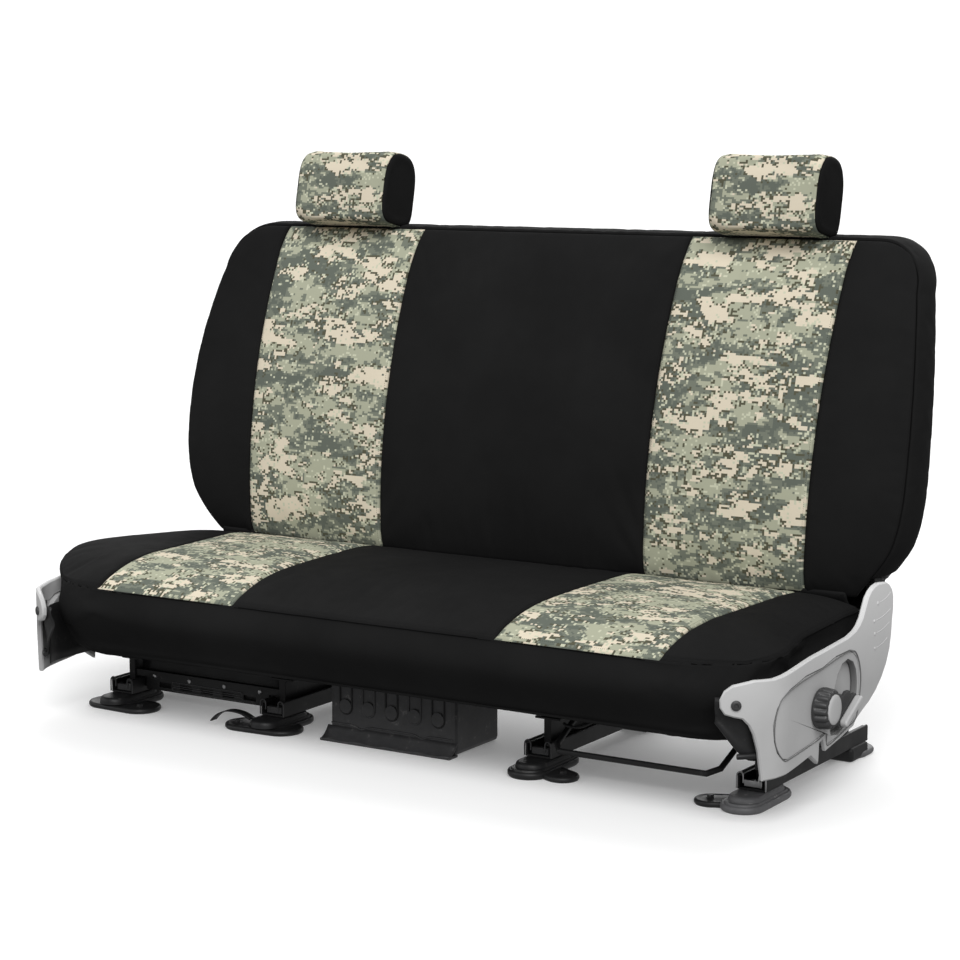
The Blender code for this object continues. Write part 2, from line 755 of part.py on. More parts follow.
def make_headrest(name, side):
    centre = side * HEADREST_X
    ring_steps = 16
    angles = [2 * math.pi * k / ring_steps for k in range(ring_steps)]
    xs = (-0.107, -0.101, -0.088, 0.0, 0.088, 0.101, 0.107)
    rings = [[headrest_point(centre, x, a, FOAM_INSET) for a in angles] for x in xs]
    foam = place(loft(rings), f"headrest_foam_{name}", "foam")
    slot_half = (POST_SPREAD + 0.009, 0.0085, 0.055)
    slot = box([-v for v in slot_half], slot_half)
    lean = Matrix.Rotation(-HEADREST_LEAN, 4, "X")
    slot.data.transform(Matrix.Translation(post_point(centre, -0.035)) @ lean)
    boolean(foam, as_cutter(slot, f"post_slot_{name}"), "DIFFERENCE")

    def wrap(u, v):
        angle = math.radians(lerp(12, 308, v))
        x = lerp(-HEADREST_WRAP_HALF, HEADREST_WRAP_HALF, u)
        return headrest_point(centre, x, angle)

    place(sheet(4, 18, wrap), f"headrest_wrap_{name}", "camo_fabric")
    for end_name, end in sides():
        rows = [HEADREST_WRAP_HALF + d for d in (0.0014, 0.0075, 0.0130, 0.0165, 0.0183)]
        cap = headrest_cap(centre, [end * x for x in rows], 18)
        place(cap, f"headrest_side_cap_{name}_{end_name}", "black_neoprene")

    bend = 0.014
    top = 0.004
    path = [post_point(centre - POST_SPREAD, -0.150)]
    for sign in (-1, 1):
        turn = [(math.cos(math.radians(d)), math.sin(math.radians(d))) for d in (0, 30, 60, 90)]
        arc = [post_point(centre + sign * (POST_SPREAD - bend + bend * c), top - bend + bend * s)
               for c, s in turn]
        path += arc if sign < 0 else list(reversed(arc))
    path.append(post_point(centre + POST_SPREAD, -0.150))
    place(tube(path, POST_RADIUS), f"headrest_post_{name}", "bright_steel")

    socket = place(socket_block(side), f"headrest_socket_{name}", "dark_plastic")
    for leg in (-1, 1):
        x = centre + leg * POST_SPREAD
        bore = cylinder(post_point(x, -0.20), post_point(x, -0.05), POST_RADIUS + 0.0010, 16)
        boolean(socket, as_cutter(bore, f"sleeve_bore_{name}_{leg}"), "DIFFERENCE")


def headrest_cap(centre, xs, steps):
    """The dished end panel of a headrest cover, as a shell."""
    work = bmesh.new()
    rows = []
    for x in xs:
        points = [headrest_point(centre, x, 2 * math.pi * k / steps) for k in range(steps)]
        rows.append([work.verts.new(point) for point in points])
    for low, high in zip(rows, rows[1:]):
        for i in range(steps):
            j = (i + 1) % steps
            work.faces.new((low[i], low[j], high[j], high[i]))
    work.faces.new(rows[-1])
    bmesh.ops.recalc_face_normals(work, faces=work.faces)
    mesh = bpy.data.meshes.new("cap")
    work.to_mesh(mesh)
    work.free()
    obj = bpy.data.objects.new("cap", mesh)
    bpy.context.scene.collection.objects.link(obj)
    outward = sum((p.normal.x for p in mesh.polygons if len(p.vertices) > 4), 0.0)
    if outward * xs[-1] < 0:
        mesh.flip_normals()
    solid = obj.modifiers.new("solidify", "SOLIDIFY")
    solid.thickness = CLOTH * 0.7
    solid.offset = -1.0
    mesh.shade_smooth()
    return obj


# ---------------------------------------------------------------- backrest hardware

def make_back_frame():
    """A closed tube loop in the pocket behind the foam."""
    half, low, high, bend = 0.600, 0.422, 0.808, 0.035
    corners = ((half - bend, high - bend, 0), (bend - half, high - bend, 90),
               (bend - half, low + bend, 180), (half - bend, low + bend, 270))
    route = []
    for x, z, start in corners:
        for step in (0, 30, 60, 90):
            angle = math.radians(start + step)
            route.append((x + bend * math.cos(angle), z + bend * math.sin(angle)))
        if start in (0, 180):
            continue
        rise = route[-1][1]
        target = low + bend if start == 90 else high - bend
        for k in range(1, 5):
            route.append((route[-1][0], lerp(rise, target, k / 5)))
    points = [(x, back_rear(z) - 0.0265, z) for x, z in route]
    place(tube(points, 0.010, cyclic=True), "back_frame", "black_steel")


def make_back_board():
    half, low, high, rows = 0.618, 0.404, 0.828, 8

    def surface(u, v):
        z = lerp(low, high, v)
        return (lerp(-half, half, u), back_rear(z) - 0.0095, z)

    place(sheet(2, rows, surface, flip=True), "back_board", "board")


def make_lumbar_plate():
    half, low, high = 0.250, 0.435, 0.605

    def surface(u, v):
        z = lerp(low, high, v)
        x = lerp(-half, half, u)
        return (x, back_rear(z) - 0.078 - 0.004 * (1 - (x / half) ** 2), z)

    place(sheet(6, 4, surface, thickness=0.004), "lumbar_plate", "black_steel")


def circle_points(centre, radius, start, stop, steps):
    """Arc points (y, z, smooth) about a centre, angles in degrees from +Y towards +Z."""
    made = []
    for k in range(steps + 1):
        angle = math.radians(lerp(start, stop, k / steps))
        made.append((centre[0] + radius * math.cos(angle), centre[1] + radius * math.sin(angle), 0))
    return made


def place_end(obj, name, kind, side):
    """Puts a piece made for the right end at this end of the bench."""
    if side < 0:
        obj.data.transform(Matrix.Diagonal((-1.0, 1.0, 1.0, 1.0)))
        obj.data.flip_normals()
    return place(obj, name, kind)


def make_recliner(name, side):
    pivot = (PIVOT_Y, PIVOT_Z)
    outline = circle_points(pivot, 0.028, -50, 230, 10)
    outline += [(0.170, 0.290, 0), (0.170, 0.236, 0), (0.150, 0.200, 0), (0.105, 0.162, 0),
                (0.062, 0.160, 0), (0.062, 0.141, 0), (0.215, 0.141, 0), (0.222, 0.160, 0), (0.216, 0.200, 0)]
    base = plate([outline], *RECLINER_BASE_X)
    place_end(base, f"recliner_base_{name}", "black_steel", side)
    root = sum(RECLINER_BASE_X) / 2
    stud = cylinder((side * root, *pivot), (side * STUD_END_X, *pivot), 0.0080)
    boolean(base, as_cutter(stud, f"pivot_stud_{name}"), "UNION")

    arm = circle_points(pivot, 0.026, 150, 390, 10)
    arm += [(0.204, 0.380, 0), (0.216, 0.545, 0), (0.190, 0.560, 0), (0.164, 0.545, 0),
            (0.160, 0.380, 0)]
    made = plate([arm], *RECLINER_ARM_X)
    place_end(made, f"recliner_arm_{name}", "black_steel", side)
    bore = cylinder((side * root, *pivot), (side * 0.75, *pivot), 0.0084)
    boolean(made, as_cutter(bore, f"pivot_bore_{name}"), "DIFFERENCE")


# ---------------------------------------------------------------- shields and controls

def bend_front(obj):
    """Wraps the plate's front round the cushion's corner, on a vertical cylinder."""
    work = bmesh.new()
    work.from_mesh(obj.data)
    for k in range(7):
        y = BEND_Y - 0.135 * k / 6
        geometry = work.verts[:] + work.edges[:] + work.faces[:]
        bmesh.ops.bisect_plane(work, geom=geometry, plane_co=(0, y, 0), plane_no=(0, 1, 0))
    centre_x = SHIELD_OUTER - BEND_RADIUS
    for vertex in work.verts:
        run = BEND_Y - vertex.co.y
        if run > 0:
            angle = run / BEND_RADIUS
            radius = vertex.co.x - centre_x
            vertex.co.x = centre_x + radius * math.cos(angle)
            vertex.co.y = BEND_Y - radius * math.sin(angle)
    work.to_mesh(obj.data)
    work.free()


def grown(outline, amount):
    """The outline moved outwards by amount, along the average of its edge normals."""
    made = []
    count = len(outline)
    area = sum(outline[i][0] * outline[(i + 1) % count][1] - outline[(i + 1) % count][0]
               * outline[i][1] for i in range(count))
    turn = 1 if area > 0 else -1
    for i, (a, b, smooth) in enumerate(outline):
        before, after = outline[i - 1], outline[(i + 1) % count]
        ea = Vector((a - before[0], b - before[1])).normalized()
        eb = Vector((after[0] - a, after[1] - b)).normalized()
        na, nb = Vector((ea.y, -ea.x)) * turn, Vector((eb.y, -eb.x)) * turn
        mid = (na + nb).normalized()
        step = amount / max(mid.dot(na), 0.5)
        made.append((a + mid.x * step, b + mid.y * step, smooth))
    return made


def make_shield(name, side):
    """A shield with its control bezel. Only the right one rises in an arm beside the recliner."""
    inner = SHIELD_OUTER - SHIELD_THICK
    outline = SHIELD_OUTLINE
    if side < 0:
        outline = SHIELD_OUTLINE[:4] + LOW_REAR + SHIELD_OUTLINE[15:]
    shield = plate([outline, grown(BEZEL_OUTLINE, 0.0012)], inner, SHIELD_OUTER, 0.0025)
    bend_front(shield)
    shield = place_end(shield, f"side_shield_{name}", "grey_plastic", side)

    bezel = plate([BEZEL_OUTLINE], BEZEL_OUTER - BEZEL_THICK, BEZEL_OUTER)
    bend_front(bezel)
    bezel = place_end(bezel, f"control_bezel_{name}", "grey_plastic", side)
    floor = BEZEL_OUTER - RECESS_DEPTH
    recess = plate([RECESS_OUTLINE], floor, BEZEL_OUTER + 0.01)
    if side < 0:
        recess.data.transform(Matrix.Diagonal((-1.0, 1.0, 1.0, 1.0)))
        recess.data.flip_normals()
    boolean(bezel, as_cutter(recess, f"lever_recess_{name}"), "DIFFERENCE")
    shafts = [("lever", LEVER_YZ, 0.0066)]
    if side > 0:
        shafts.append(("knob", KNOB_YZ, 0.0076))
    for what, (y, z), radius in shafts:
        bore = cylinder((side * 0.72, y, z), (side * 0.78, y, z), radius)
        boolean(bezel, as_cutter(bore, f"{what}_bore_{name}"), "DIFFERENCE")

    angle = (BEND_Y + 0.390) / BEND_RADIUS
    reach = Vector((math.cos(angle) * side, -math.sin(angle), 0))
    centre = Vector(((SHIELD_OUTER - BEND_RADIUS) * side, BEND_Y, 0.205))
    head = cylinder(centre + reach * (BEND_RADIUS + GAP), centre + reach * (BEND_RADIUS + 0.003),
                    0.0075, 14)
    place(head, f"shield_screw_{name}", "dark_plastic")


def make_lever(name, side):
    """The recline lever: hub and shaft on the pivot, with a bar that is pulled upwards."""
    y, z = LEVER_YZ
    hub = cylinder((side * 0.7472, y, z), (side * 0.7660, y, z), 0.021, 20)
    place(hub, f"recline_lever_{name}", "dark_plastic")
    shaft = cylinder((side * 0.7380, y, z), (side * 0.7500, y, z), 0.006, 12)
    boolean(hub, as_cutter(shaft, f"lever_shaft_{name}"), "UNION")
    bar = box((0.7600, -0.0435, -0.0080), (0.7900, 0.0435, 0.0080))
    lean = math.atan2(0.041, 0.078)
    bar.data.transform(Matrix.Rotation(lean, 4, "X"))
    bar.data.transform(Matrix.Translation((0, -0.065, 0.1445)))
    if side < 0:
        bar.data.transform(Matrix.Diagonal((-1.0, 1.0, 1.0, 1.0)))
        bar.data.flip_normals()
    bevel(bar, 0.004)
    boolean(hub, as_cutter(bar, f"lever_bar_{name}"), "UNION")


def make_knob():
    """The fluted lumbar knob on the right shield."""
    y, z = KNOB_YZ
    outline = []
    flutes, steps = 14, 4
    for k in range(flutes * steps):
        angle = 2 * math.pi * k / (flutes * steps)
        radius = KNOB_RADIUS - 0.0022 * (0.5 - 0.5 * math.cos(flutes * angle)) ** 2
        outline.append((y + radius * math.cos(angle), z + radius * math.sin(angle)))
    knob = plate_poly(outline, *KNOB_X)
    place(knob, "lumbar_knob", "dark_plastic")
    shaft = cylinder((0.7430, y, z), (0.7650, y, z), 0.0070, 16)
    boolean(knob, as_cutter(shaft, "knob_shaft"), "UNION")


def plate_poly(outline, x_low, x_high):
    """A plate with a many-sided straight outline."""
    low = [(x_low, y, z) for y, z in outline]
    high = [(x_high, y, z) for y, z in outline]
    return loft([low, high])


# ---------------------------------------------------------------- tracks and underseat

def make_track(name, x):
    half, sheet_t, lip = RAIL_HALF, RAIL_SHEET, RAIL_LIP
    low, top = RAIL_BOTTOM, RAIL_TOP
    outline = [(x - half, low), (x + half, low), (x + half, top), (x + half - lip, top),
               (x + half - lip, top - sheet_t), (x + half - sheet_t, top - sheet_t),
               (x + half - sheet_t, low + sheet_t), (x - half + sheet_t, low + sheet_t),
               (x - half + sheet_t, top - sheet_t), (x - half + lip, top - sheet_t),
               (x - half + lip, top), (x - half, top)]
    rail = place(profile_bar(outline, *RAIL_Y), f"lower_rail_{name}", "black_steel")
    foot = box((x - 0.030, 0.128, 0.0), (x + 0.030, 0.200, low + 0.001))
    bevel(foot, 0.006)
    boolean(rail, as_cutter(foot, f"rear_foot_{name}"), "UNION")

    base, cap = low + sheet_t + 0.0012, SLIDER_TOP
    slider = box((x - half, SLIDER_Y[0], cap - 0.004), (x + half, SLIDER_Y[1], cap))
    place(slider, f"upper_rail_{name}", "black_steel")
    web = box((x - SLIDER_STEM, SLIDER_Y[0], base + 0.001), (x + SLIDER_STEM, SLIDER_Y[1], cap - 0.001))
    boolean(slider, as_cutter(web, f"slider_web_{name}"), "UNION")
    hook = box((x - 0.019, SLIDER_Y[0], base), (x + 0.019, SLIDER_Y[1], base + 0.004))
    boolean(slider, as_cutter(hook, f"slider_hook_{name}"), "UNION")
    for k, y in enumerate(UPRIGHT_Y):
        post = box((x - UPRIGHT_HALF, y - 0.028, cap - 0.002),
                   (x + UPRIGHT_HALF, y + 0.028, PAN_Z[0] - GAP))
        boolean(slider, as_cutter(post, f"upright_{name}_{k}"), "UNION")


def make_foot(name, x, toe):
    """A front foot: a base plate with a block under the rail and a toe to one side."""
    foot = box((x - 0.042, -0.262, 0.0), (x + 0.042, -0.100, 0.0120))
    bevel(foot, 0.005)
    place(foot, f"front_foot_{name}", "black_steel")
    block = box((x - 0.026, -0.225, 0.006), (x + 0.026, -0.120, RAIL_BOTTOM - GAP))
    boolean(foot, as_cutter(block, f"foot_block_{name}"), "UNION")
    low, high = sorted((x + toe * 0.035, x + toe * 0.092))
    tongue = box((low, -0.238, 0.0), (high, -0.188, 0.016))
    bevel(tongue, 0.006)
    boolean(foot, as_cutter(tongue, f"foot_toe_{name}"), "UNION")


def make_center_riser():
    """The pressed-steel support under the middle: an open-bottomed box with a lip and dimples."""
    low_x, high_x, front, rear, top = -0.180, 0.086, -0.198, -0.052, 0.108
    riser = box((low_x, front, 0.0), (high_x, rear, top))
    bevel(riser, 0.008)
    place(riser, "center_riser", "black_steel")
    hollow = box((low_x + 0.004, front + 0.004, -0.02), (high_x - 0.004, rear - 0.004, top - 0.004))
    boolean(riser, as_cutter(hollow, "riser_hollow"), "DIFFERENCE")
    lip = box((low_x - 0.004, front - 0.026, 0.0), (high_x + 0.004, front + 0.002, 0.004))
    boolean(riser, as_cutter(lip, "riser_lip"), "UNION")
    for k in range(5):
        x = lerp(low_x + 0.035, high_x - 0.035, k / 4)
        dimple = cylinder((x, front - 0.003, 0.062), (x, front + 0.003, 0.062), 0.013, 12)
        boolean(riser, as_cutter(dimple, f"riser_dimple_{k}"), "UNION")


def make_brace():
    """The slotted channel that ties the two left sliders together."""
    low_x, high_x = -0.626, -0.336
    brace = box((low_x, -0.172, 0.030), (high_x, -0.162, 0.066))
    place(brace, "track_brace_left", "black_steel")
    tie_low = TRACKS["left_outer"] + SLIDER_STEM + GAP
    tie_high = TRACKS["left_inner"] - SLIDER_STEM - GAP
    tie = box((tie_low, -0.172, 0.053), (tie_high, -0.135, 0.066))
    boolean(brace, as_cutter(tie, "brace_tie"), "UNION")
    for k in range(5):
        x = lerp(low_x + 0.045, high_x - 0.045, k / 4)
        slot = box((x - 0.014, -0.18, 0.037), (x + 0.014, -0.15, 0.046))
        boolean(brace, as_cutter(slot, f"brace_slot_{k}"), "DIFFERENCE")


def make_release_bar():
    """The lift bar that frees the slide, between the two right tracks."""
    y_pivot, z_pivot = RELEASE_YZ
    y_front, z_front = -0.242, 0.052
    inner = TRACKS["right_inner"] + UPRIGHT_HALF + 0.001
    outer = TRACKS["right_outer"] - UPRIGHT_HALF - 0.001
    ends = (inner + 0.022, outer - 0.022)
    points = [(inner, y_pivot, z_pivot),
              (ends[0] - 0.010, y_pivot, z_pivot),
              (ends[0], y_pivot - 0.008, z_pivot - 0.003),
              (ends[0] + 0.004, y_front + 0.020, z_front + 0.006),
              (ends[0] + 0.020, y_front, z_front),
              (ends[1] - 0.020, y_front, z_front),
              (ends[1] - 0.004, y_front + 0.020, z_front + 0.006),
              (ends[1], y_pivot - 0.008, z_pivot - 0.003),
              (ends[1] + 0.010, y_pivot, z_pivot),
              (outer, y_pivot, z_pivot)]
    place(tube(points, 0.0055), "slide_release_bar", "black_steel")


def make_seat_pan():
    pan = box((-PAN_HALF, PAN_MIDDLE, PAN_Z[0]), (PAN_HALF, PAN_Y[1], PAN_Z[1]))
    place(pan, "seat_pan", "black_steel")
    front_low = (-PAN_FRONT_HALF, PAN_Y[0], PAN_Z[0] + GAP)
    front_high = (PAN_FRONT_HALF, PAN_MIDDLE + 0.01, PAN_Z[1] - GAP)
    boolean(pan, as_cutter(box(front_low, front_high), "pan_front"), "UNION")


# ---------------------------------------------------------------- joints

def put_origin(starts, point):
    """Puts the origin of the pieces whose names start so on the axis that they move about."""
    for piece in PARTS.objects:
        if piece.name.startswith(starts):
            piece.data.transform(Matrix.Translation(-Vector(point)))
            piece.location = point


def put_origins_on_axes():
    recline = (0, PIVOT_Y + CENTRE_SHIFT, PIVOT_Z)
    put_origin(("back_", "recliner_arm", "headrest_socket", "lumbar_plate"), recline)
    put_origin("slide_release", (0, RELEASE_YZ[0] + CENTRE_SHIFT, RELEASE_YZ[1]))
    put_origin("lumbar_knob", (KNOB_X[0], KNOB_YZ[0] + CENTRE_SHIFT, KNOB_YZ[1]))
    for name, side in sides():
        lever = (side * KNOB_X[0], LEVER_YZ[0] + CENTRE_SHIFT, LEVER_YZ[1])
        put_origin(f"recline_lever_{name}", lever)
        post = post_point(side * HEADREST_X, 0.0)
        starts = tuple(f"headrest_{what}_{name}" for what in ("foam", "post", "wrap", "side_cap"))
        put_origin(starts, (post.x, post.y + CENTRE_SHIFT, post.z))


# ---------------------------------------------------------------- assembly

empty_scene()
PARTS = new_collection("covered_bench_seat")
CUTTERS = new_collection("cutters")

for track, track_x in TRACKS.items():
    make_track(track, track_x)
    make_foot(track, track_x, -1 if track in ("right_outer", "left_inner") else 1)
make_center_riser()
make_brace()
make_release_bar()
make_seat_pan()
make_seat_foam()
make_seat_panels()
make_seat_band()
make_back_foam()
make_back_panels()
make_back_boxing()
make_back_rear_panel()
make_back_frame()
make_back_board()
make_lumbar_plate()
for end, sign in sides():
    make_recliner(end, sign)
    make_shield(end, sign)
    make_lever(end, sign)
    make_headrest(end, sign)
make_knob()
for piece in list(PARTS.objects) + list(CUTTERS.objects):
    piece.data.transform(Matrix.Translation((0, CENTRE_SHIFT, 0)))
put_origins_on_axes()
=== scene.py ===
"""Looks of the covered bench: sewn covers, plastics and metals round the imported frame.

Metres, +Z up, the CAD's own frame: X along the bench, the seat faces -Y, the floor is z = 0.
"""
import json
import math

import bmesh
import bpy
from mathutils import Matrix, Vector


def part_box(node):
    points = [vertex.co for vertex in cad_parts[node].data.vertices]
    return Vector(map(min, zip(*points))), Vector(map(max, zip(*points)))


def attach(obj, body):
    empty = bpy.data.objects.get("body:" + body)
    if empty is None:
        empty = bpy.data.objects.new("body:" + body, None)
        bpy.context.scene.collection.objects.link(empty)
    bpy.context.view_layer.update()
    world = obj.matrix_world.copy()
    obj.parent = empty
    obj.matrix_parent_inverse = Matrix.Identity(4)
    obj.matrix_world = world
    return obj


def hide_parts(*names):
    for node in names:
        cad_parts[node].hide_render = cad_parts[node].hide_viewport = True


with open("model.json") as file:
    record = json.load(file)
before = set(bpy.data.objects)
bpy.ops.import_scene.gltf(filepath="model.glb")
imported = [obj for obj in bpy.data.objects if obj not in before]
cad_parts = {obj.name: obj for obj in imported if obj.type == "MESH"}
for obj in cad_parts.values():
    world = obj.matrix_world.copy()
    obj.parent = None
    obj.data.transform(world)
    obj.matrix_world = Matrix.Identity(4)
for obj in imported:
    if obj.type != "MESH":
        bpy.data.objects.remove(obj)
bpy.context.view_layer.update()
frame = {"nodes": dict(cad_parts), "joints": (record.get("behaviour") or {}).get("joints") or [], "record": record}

NODES = frame["nodes"]
JOINTS = {joint["name"]: joint for joint in frame["joints"]}

# ---------------------------------------------------------------- sizes, from the frame

PIVOT_Y, PIVOT_Z = JOINTS["back_recline"]["pos_m"][1:]
PITCH = 0.0075               # spacing of the cloth's own grid
CLOTH = 0.0022               # thickness of a cover panel, inwards from its outer face
COVER_PUFF = (2.4, 0.009, -0.004)    # pressure, most swelling, and shrinkage
SEAM_DEPTH = 0.004

BACK_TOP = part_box("back_cover_boxing")[1].z - 0.004
BACK_HALF = 0.77
BACK_FACE_Y = PIVOT_Y - 0.072
BACK_THICK = (0.147, 0.118)
BACK_CORNER = 0.088
BACK_EDGE = 0.02
ROLL = 0.0735
ROLL_HALF = 0.676
FACE_LOW = PIVOT_Z - 0.04
STRIPES = {"top": (0.45, 0.16), "fold": (0.439, 0.156), "front": (0.421, 0.152)}

SEAT_LOW, SEAT_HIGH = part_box("seat_cover_center")
SEAT_FRONT, SEAT_REAR = SEAT_LOW.y, SEAT_HIGH.y - 0.002
SEAT_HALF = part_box("seat_cover_right_bolster")[1].x
SEAT_CORNER = 0.17
SEAM_Z = 0.262
SEAM_RISE = 0.017
CROWN = 0.041
SKIRT_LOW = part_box("seat_cover_skirt")[0].z

HEAD_HALF = (0.1145, 0.055, 0.073)
HEAD_DROP = 0.014            # of the cover's middle below the CAD headrest's
HEAD_SEAM = 0.1008
CAP_RISE = 0.008
LEAN = math.radians(12)


def lerp(a, b, t):
    return a + (b - a) * t


def smooth(value, low, high):
    t = min(max((value - low) / (high - low), 0.0), 1.0)
    return t * t * (3 - 2 * t)


# ---------------------------------------------------------------- materials

class Paint:
    """A Principled material and short calls for its nodes."""

    def __init__(self, name, colour, roughness, metallic=0.0, **more):
        self.material = bpy.data.materials.new(name)
        self.material.use_nodes = True
        self.tree = self.material.node_tree
        self.shader = self.tree.nodes["Principled BSDF"]
        self.shader.inputs["Base Color"].default_value = (*colour, 1.0)
        self.shader.inputs["Roughness"].default_value = roughness
        self.shader.inputs["Metallic"].default_value = metallic
        for key, value in more.items():
            self.shader.inputs[key.replace("_", " ")].default_value = value

    def add(self, kind, **values):
        made = self.tree.nodes.new("ShaderNode" + kind)
        for key, value in values.items():
            if hasattr(made, key):
                setattr(made, key, value)
            else:
                made.inputs[key.replace("_", " ")].default_value = value
        return made

    def join(self, source, target, socket):
        """Links a node's first output, or (node, output), to a socket by name or number."""
        node, output = source if isinstance(source, tuple) else (source, 0)
        self.tree.links.new(node.outputs[output], target.inputs[socket])

    def place(self, scale=(1, 1, 1), cloth=False):
        """Coordinates in metres times scale: the mesh's own, or the cloth's flat ones."""
        if cloth:
            source = self.add("UVMap", uv_map="cloth")
            start = (source, 0)
        else:
            source = self.add("TexCoord")
            start = (source, "Object")
        mapping = self.add("Mapping")
        mapping.inputs["Scale"].default_value = scale
        self.join(start, mapping, "Vector")
        return mapping

    def noise(self, where, scale, detail=2.0, roughness=0.5):
        made = self.add("TexNoise", Scale=scale, Detail=detail, Roughness=roughness)
        self.join(where, made, "Vector")
        return made

    def math(self, operation, a, b):
        made = self.add("Math", operation=operation)
        for socket, value in enumerate((a, b)):
            if isinstance(value, (int, float)):
                made.inputs[socket].default_value = value
            else:
                self.join(value, made, socket)
        return made

    def ramp(self, value, stops, constant=False):
        made = self.add("ValToRGB")
        made.color_ramp.interpolation = "CONSTANT" if constant else "LINEAR"
        elements = made.color_ramp.elements
        while len(elements) < len(stops):
            elements.new(0.5)
        for element, (place, colour) in zip(elements, stops):
            element.position = place
            element.color = (*colour, 1.0)
        self.join(value, made, "Fac")
        return made

    def mix(self, factor, a, b):
        """Colour a where factor is 0 and b where it is 1; each is a node or a plain colour."""
        made = self.add("Mix", data_type="RGBA")
        self.join(factor, made, 0)
        for socket, value in ((6, a), (7, b)):
            if isinstance(value, tuple) and isinstance(value[0], float):
                made.inputs[socket].default_value = (*value, 1.0)
            else:
                self.join(value, made, socket)
        return (made, 2)

    def bump(self, height, strength, distance, after=None):
        made = self.add("Bump", Strength=strength, Distance=distance)
        self.join(height, made, "Height")
        if after:
            self.join(after, made, "Normal")
        self.join(made, self.shader, "Normal")
        return made

    def colour(self, source):
        self.join(source, self.shader, "Base Color")

    def rough(self, source, low, high):
        made = self.add("MapRange")
        made.inputs["To Min"].default_value = low
        made.inputs["To Max"].default_value = high
        self.join(source, made, 0)
        self.join(made, self.shader, "Roughness")


def weave_bump(paint, scale, strength):
    """A fine plain weave with a little slub, laid on the cloth's flat coordinates."""
    flat = paint.place(cloth=True)
    bands = []
    for direction in ("X", "Y"):
        wave = paint.add("TexWave", Scale=scale, Distortion=0.6)
        wave.bands_direction = direction
        paint.join(flat, wave, "Vector")
        bands.append(wave)
    woven = paint.math("MAXIMUM", bands[0], bands[1])
    fine = paint.bump(woven, strength, 0.0002)
    slub = paint.noise(flat, 220.0, 3.0, 0.6)
    paint.bump(slub, strength * 0.8, 0.0004, after=fine)


PIXEL = (0.004, 0.0036, 1.0)         # size of one square of the printed pattern
SAGE_LEVEL, SAND_LEVEL = 0.516, 0.564


def camo_fabric():
    """Digital camouflage: square-edged blotches of sand, sage and grey-green with specks."""
    paint = Paint("camo_cloth", (0.2, 0.21, 0.16), 0.92, Specular_IOR_Level=0.25)
    flat = paint.place(cloth=True)
    grid = paint.add("VectorMath", operation="SNAP")
    grid.inputs[1].default_value = PIXEL
    paint.join(flat, grid, 0)

    def field(scale, detail, offset):
        spot = paint.add("Mapping")
        spot.inputs["Scale"].default_value = scale
        spot.inputs["Location"].default_value = offset
        paint.join(grid, spot, "Vector")
        return paint.noise(spot, 1.0, detail, 0.62)

    def grain(offset):
        spot = paint.add("VectorMath", operation="ADD")
        spot.inputs[1].default_value = offset
        paint.join(grid, spot, 0)
        made = paint.add("TexWhiteNoise", noise_dimensions="3D")
        paint.join(spot, made, "Vector")
        return made

    def blotches(broad_scale, offset):
        """A broad field with a ragged, stepped border."""
        broad = field((*broad_scale, 1.0), 2.0, offset)
        middle = field((56.0, 92.0, 1.0), 2.0, tuple(v + 9.0 for v in offset))
        ragged = paint.math("MULTIPLY", paint.math("SUBTRACT", middle, 0.5), 0.58)
        scatter = paint.math("MULTIPLY", paint.math("SUBTRACT", grain(offset), 0.5), 0.05)
        return paint.math("ADD", paint.math("ADD", broad, ragged), scatter)

    green = blotches((12.0, 26.0), (3.1, 7.7, 0.5))
    base = paint.ramp(green, ((0.0, (0.122, 0.138, 0.114)), (0.43, (0.175, 0.192, 0.152)),
        (SAGE_LEVEL, (0.4, 0.41, 0.305))), constant=True)
    sandy = blotches((13.0, 30.0), (21.4, 2.3, 4.5))
    base = paint.mix(paint.math("GREATER_THAN", sandy, SAND_LEVEL), base, (0.7, 0.625, 0.49))

    border = paint.math("MULTIPLY", paint.math("GREATER_THAN", sandy, 0.522),
        paint.math("LESS_THAN", sandy, 0.588))
    dark = paint.math("MULTIPLY", paint.math("GREATER_THAN", grain((2.0, 9.0, 0.0)), 0.42), border)
    patch = field((40.0, 66.0, 1.0), 1.0, (1.0, 5.0, 0.9))
    pale = paint.math("GREATER_THAN", grain((7.0, 3.0, 0.0)), 0.8)
    pale = paint.math("MULTIPLY", pale, paint.math("GREATER_THAN", patch, 0.53))
    specked = paint.mix(dark, base, (0.092, 0.09, 0.058))
    paint.colour(paint.mix(pale, specked, (0.56, 0.57, 0.43)))
    weave_bump(paint, 190.0, 0.18)
    return paint.material


def black_neoprene():
    """Black knit-faced neoprene, a little brighter where it is stretched and worn."""
    paint = Paint("black_neoprene_cloth", (0.011, 0.011, 0.011), 0.85, Specular_IOR_Level=0.07)
    where = paint.place()
    broad = paint.noise(where, 5.0, 3.0, 0.55)
    paint.colour(paint.ramp(broad, ((0.3, (0.0088, 0.0088, 0.0089)), (0.72, (0.0125, 0.0125, 0.0126)))))
    paint.rough(paint.noise(where, 30.0, 2.0), 0.76, 0.94)
    knit = paint.bump(paint.noise(where, 1500.0, 2.0, 0.7), 0.22, 0.0003)
    paint.bump(paint.noise(where, 26.0, 2.0, 0.5), 0.1, 0.003, after=knit)
    return paint.material


def thread(name, colour):
    paint = Paint(name, colour, 0.8, Specular_IOR_Level=0.15)
    where = paint.place()
    twist = paint.noise(where, 2200.0, 1.0)
    paint.bump(twist, 0.4, 0.0002)
    paint.rough(twist, 0.6, 0.8)
    return paint.material


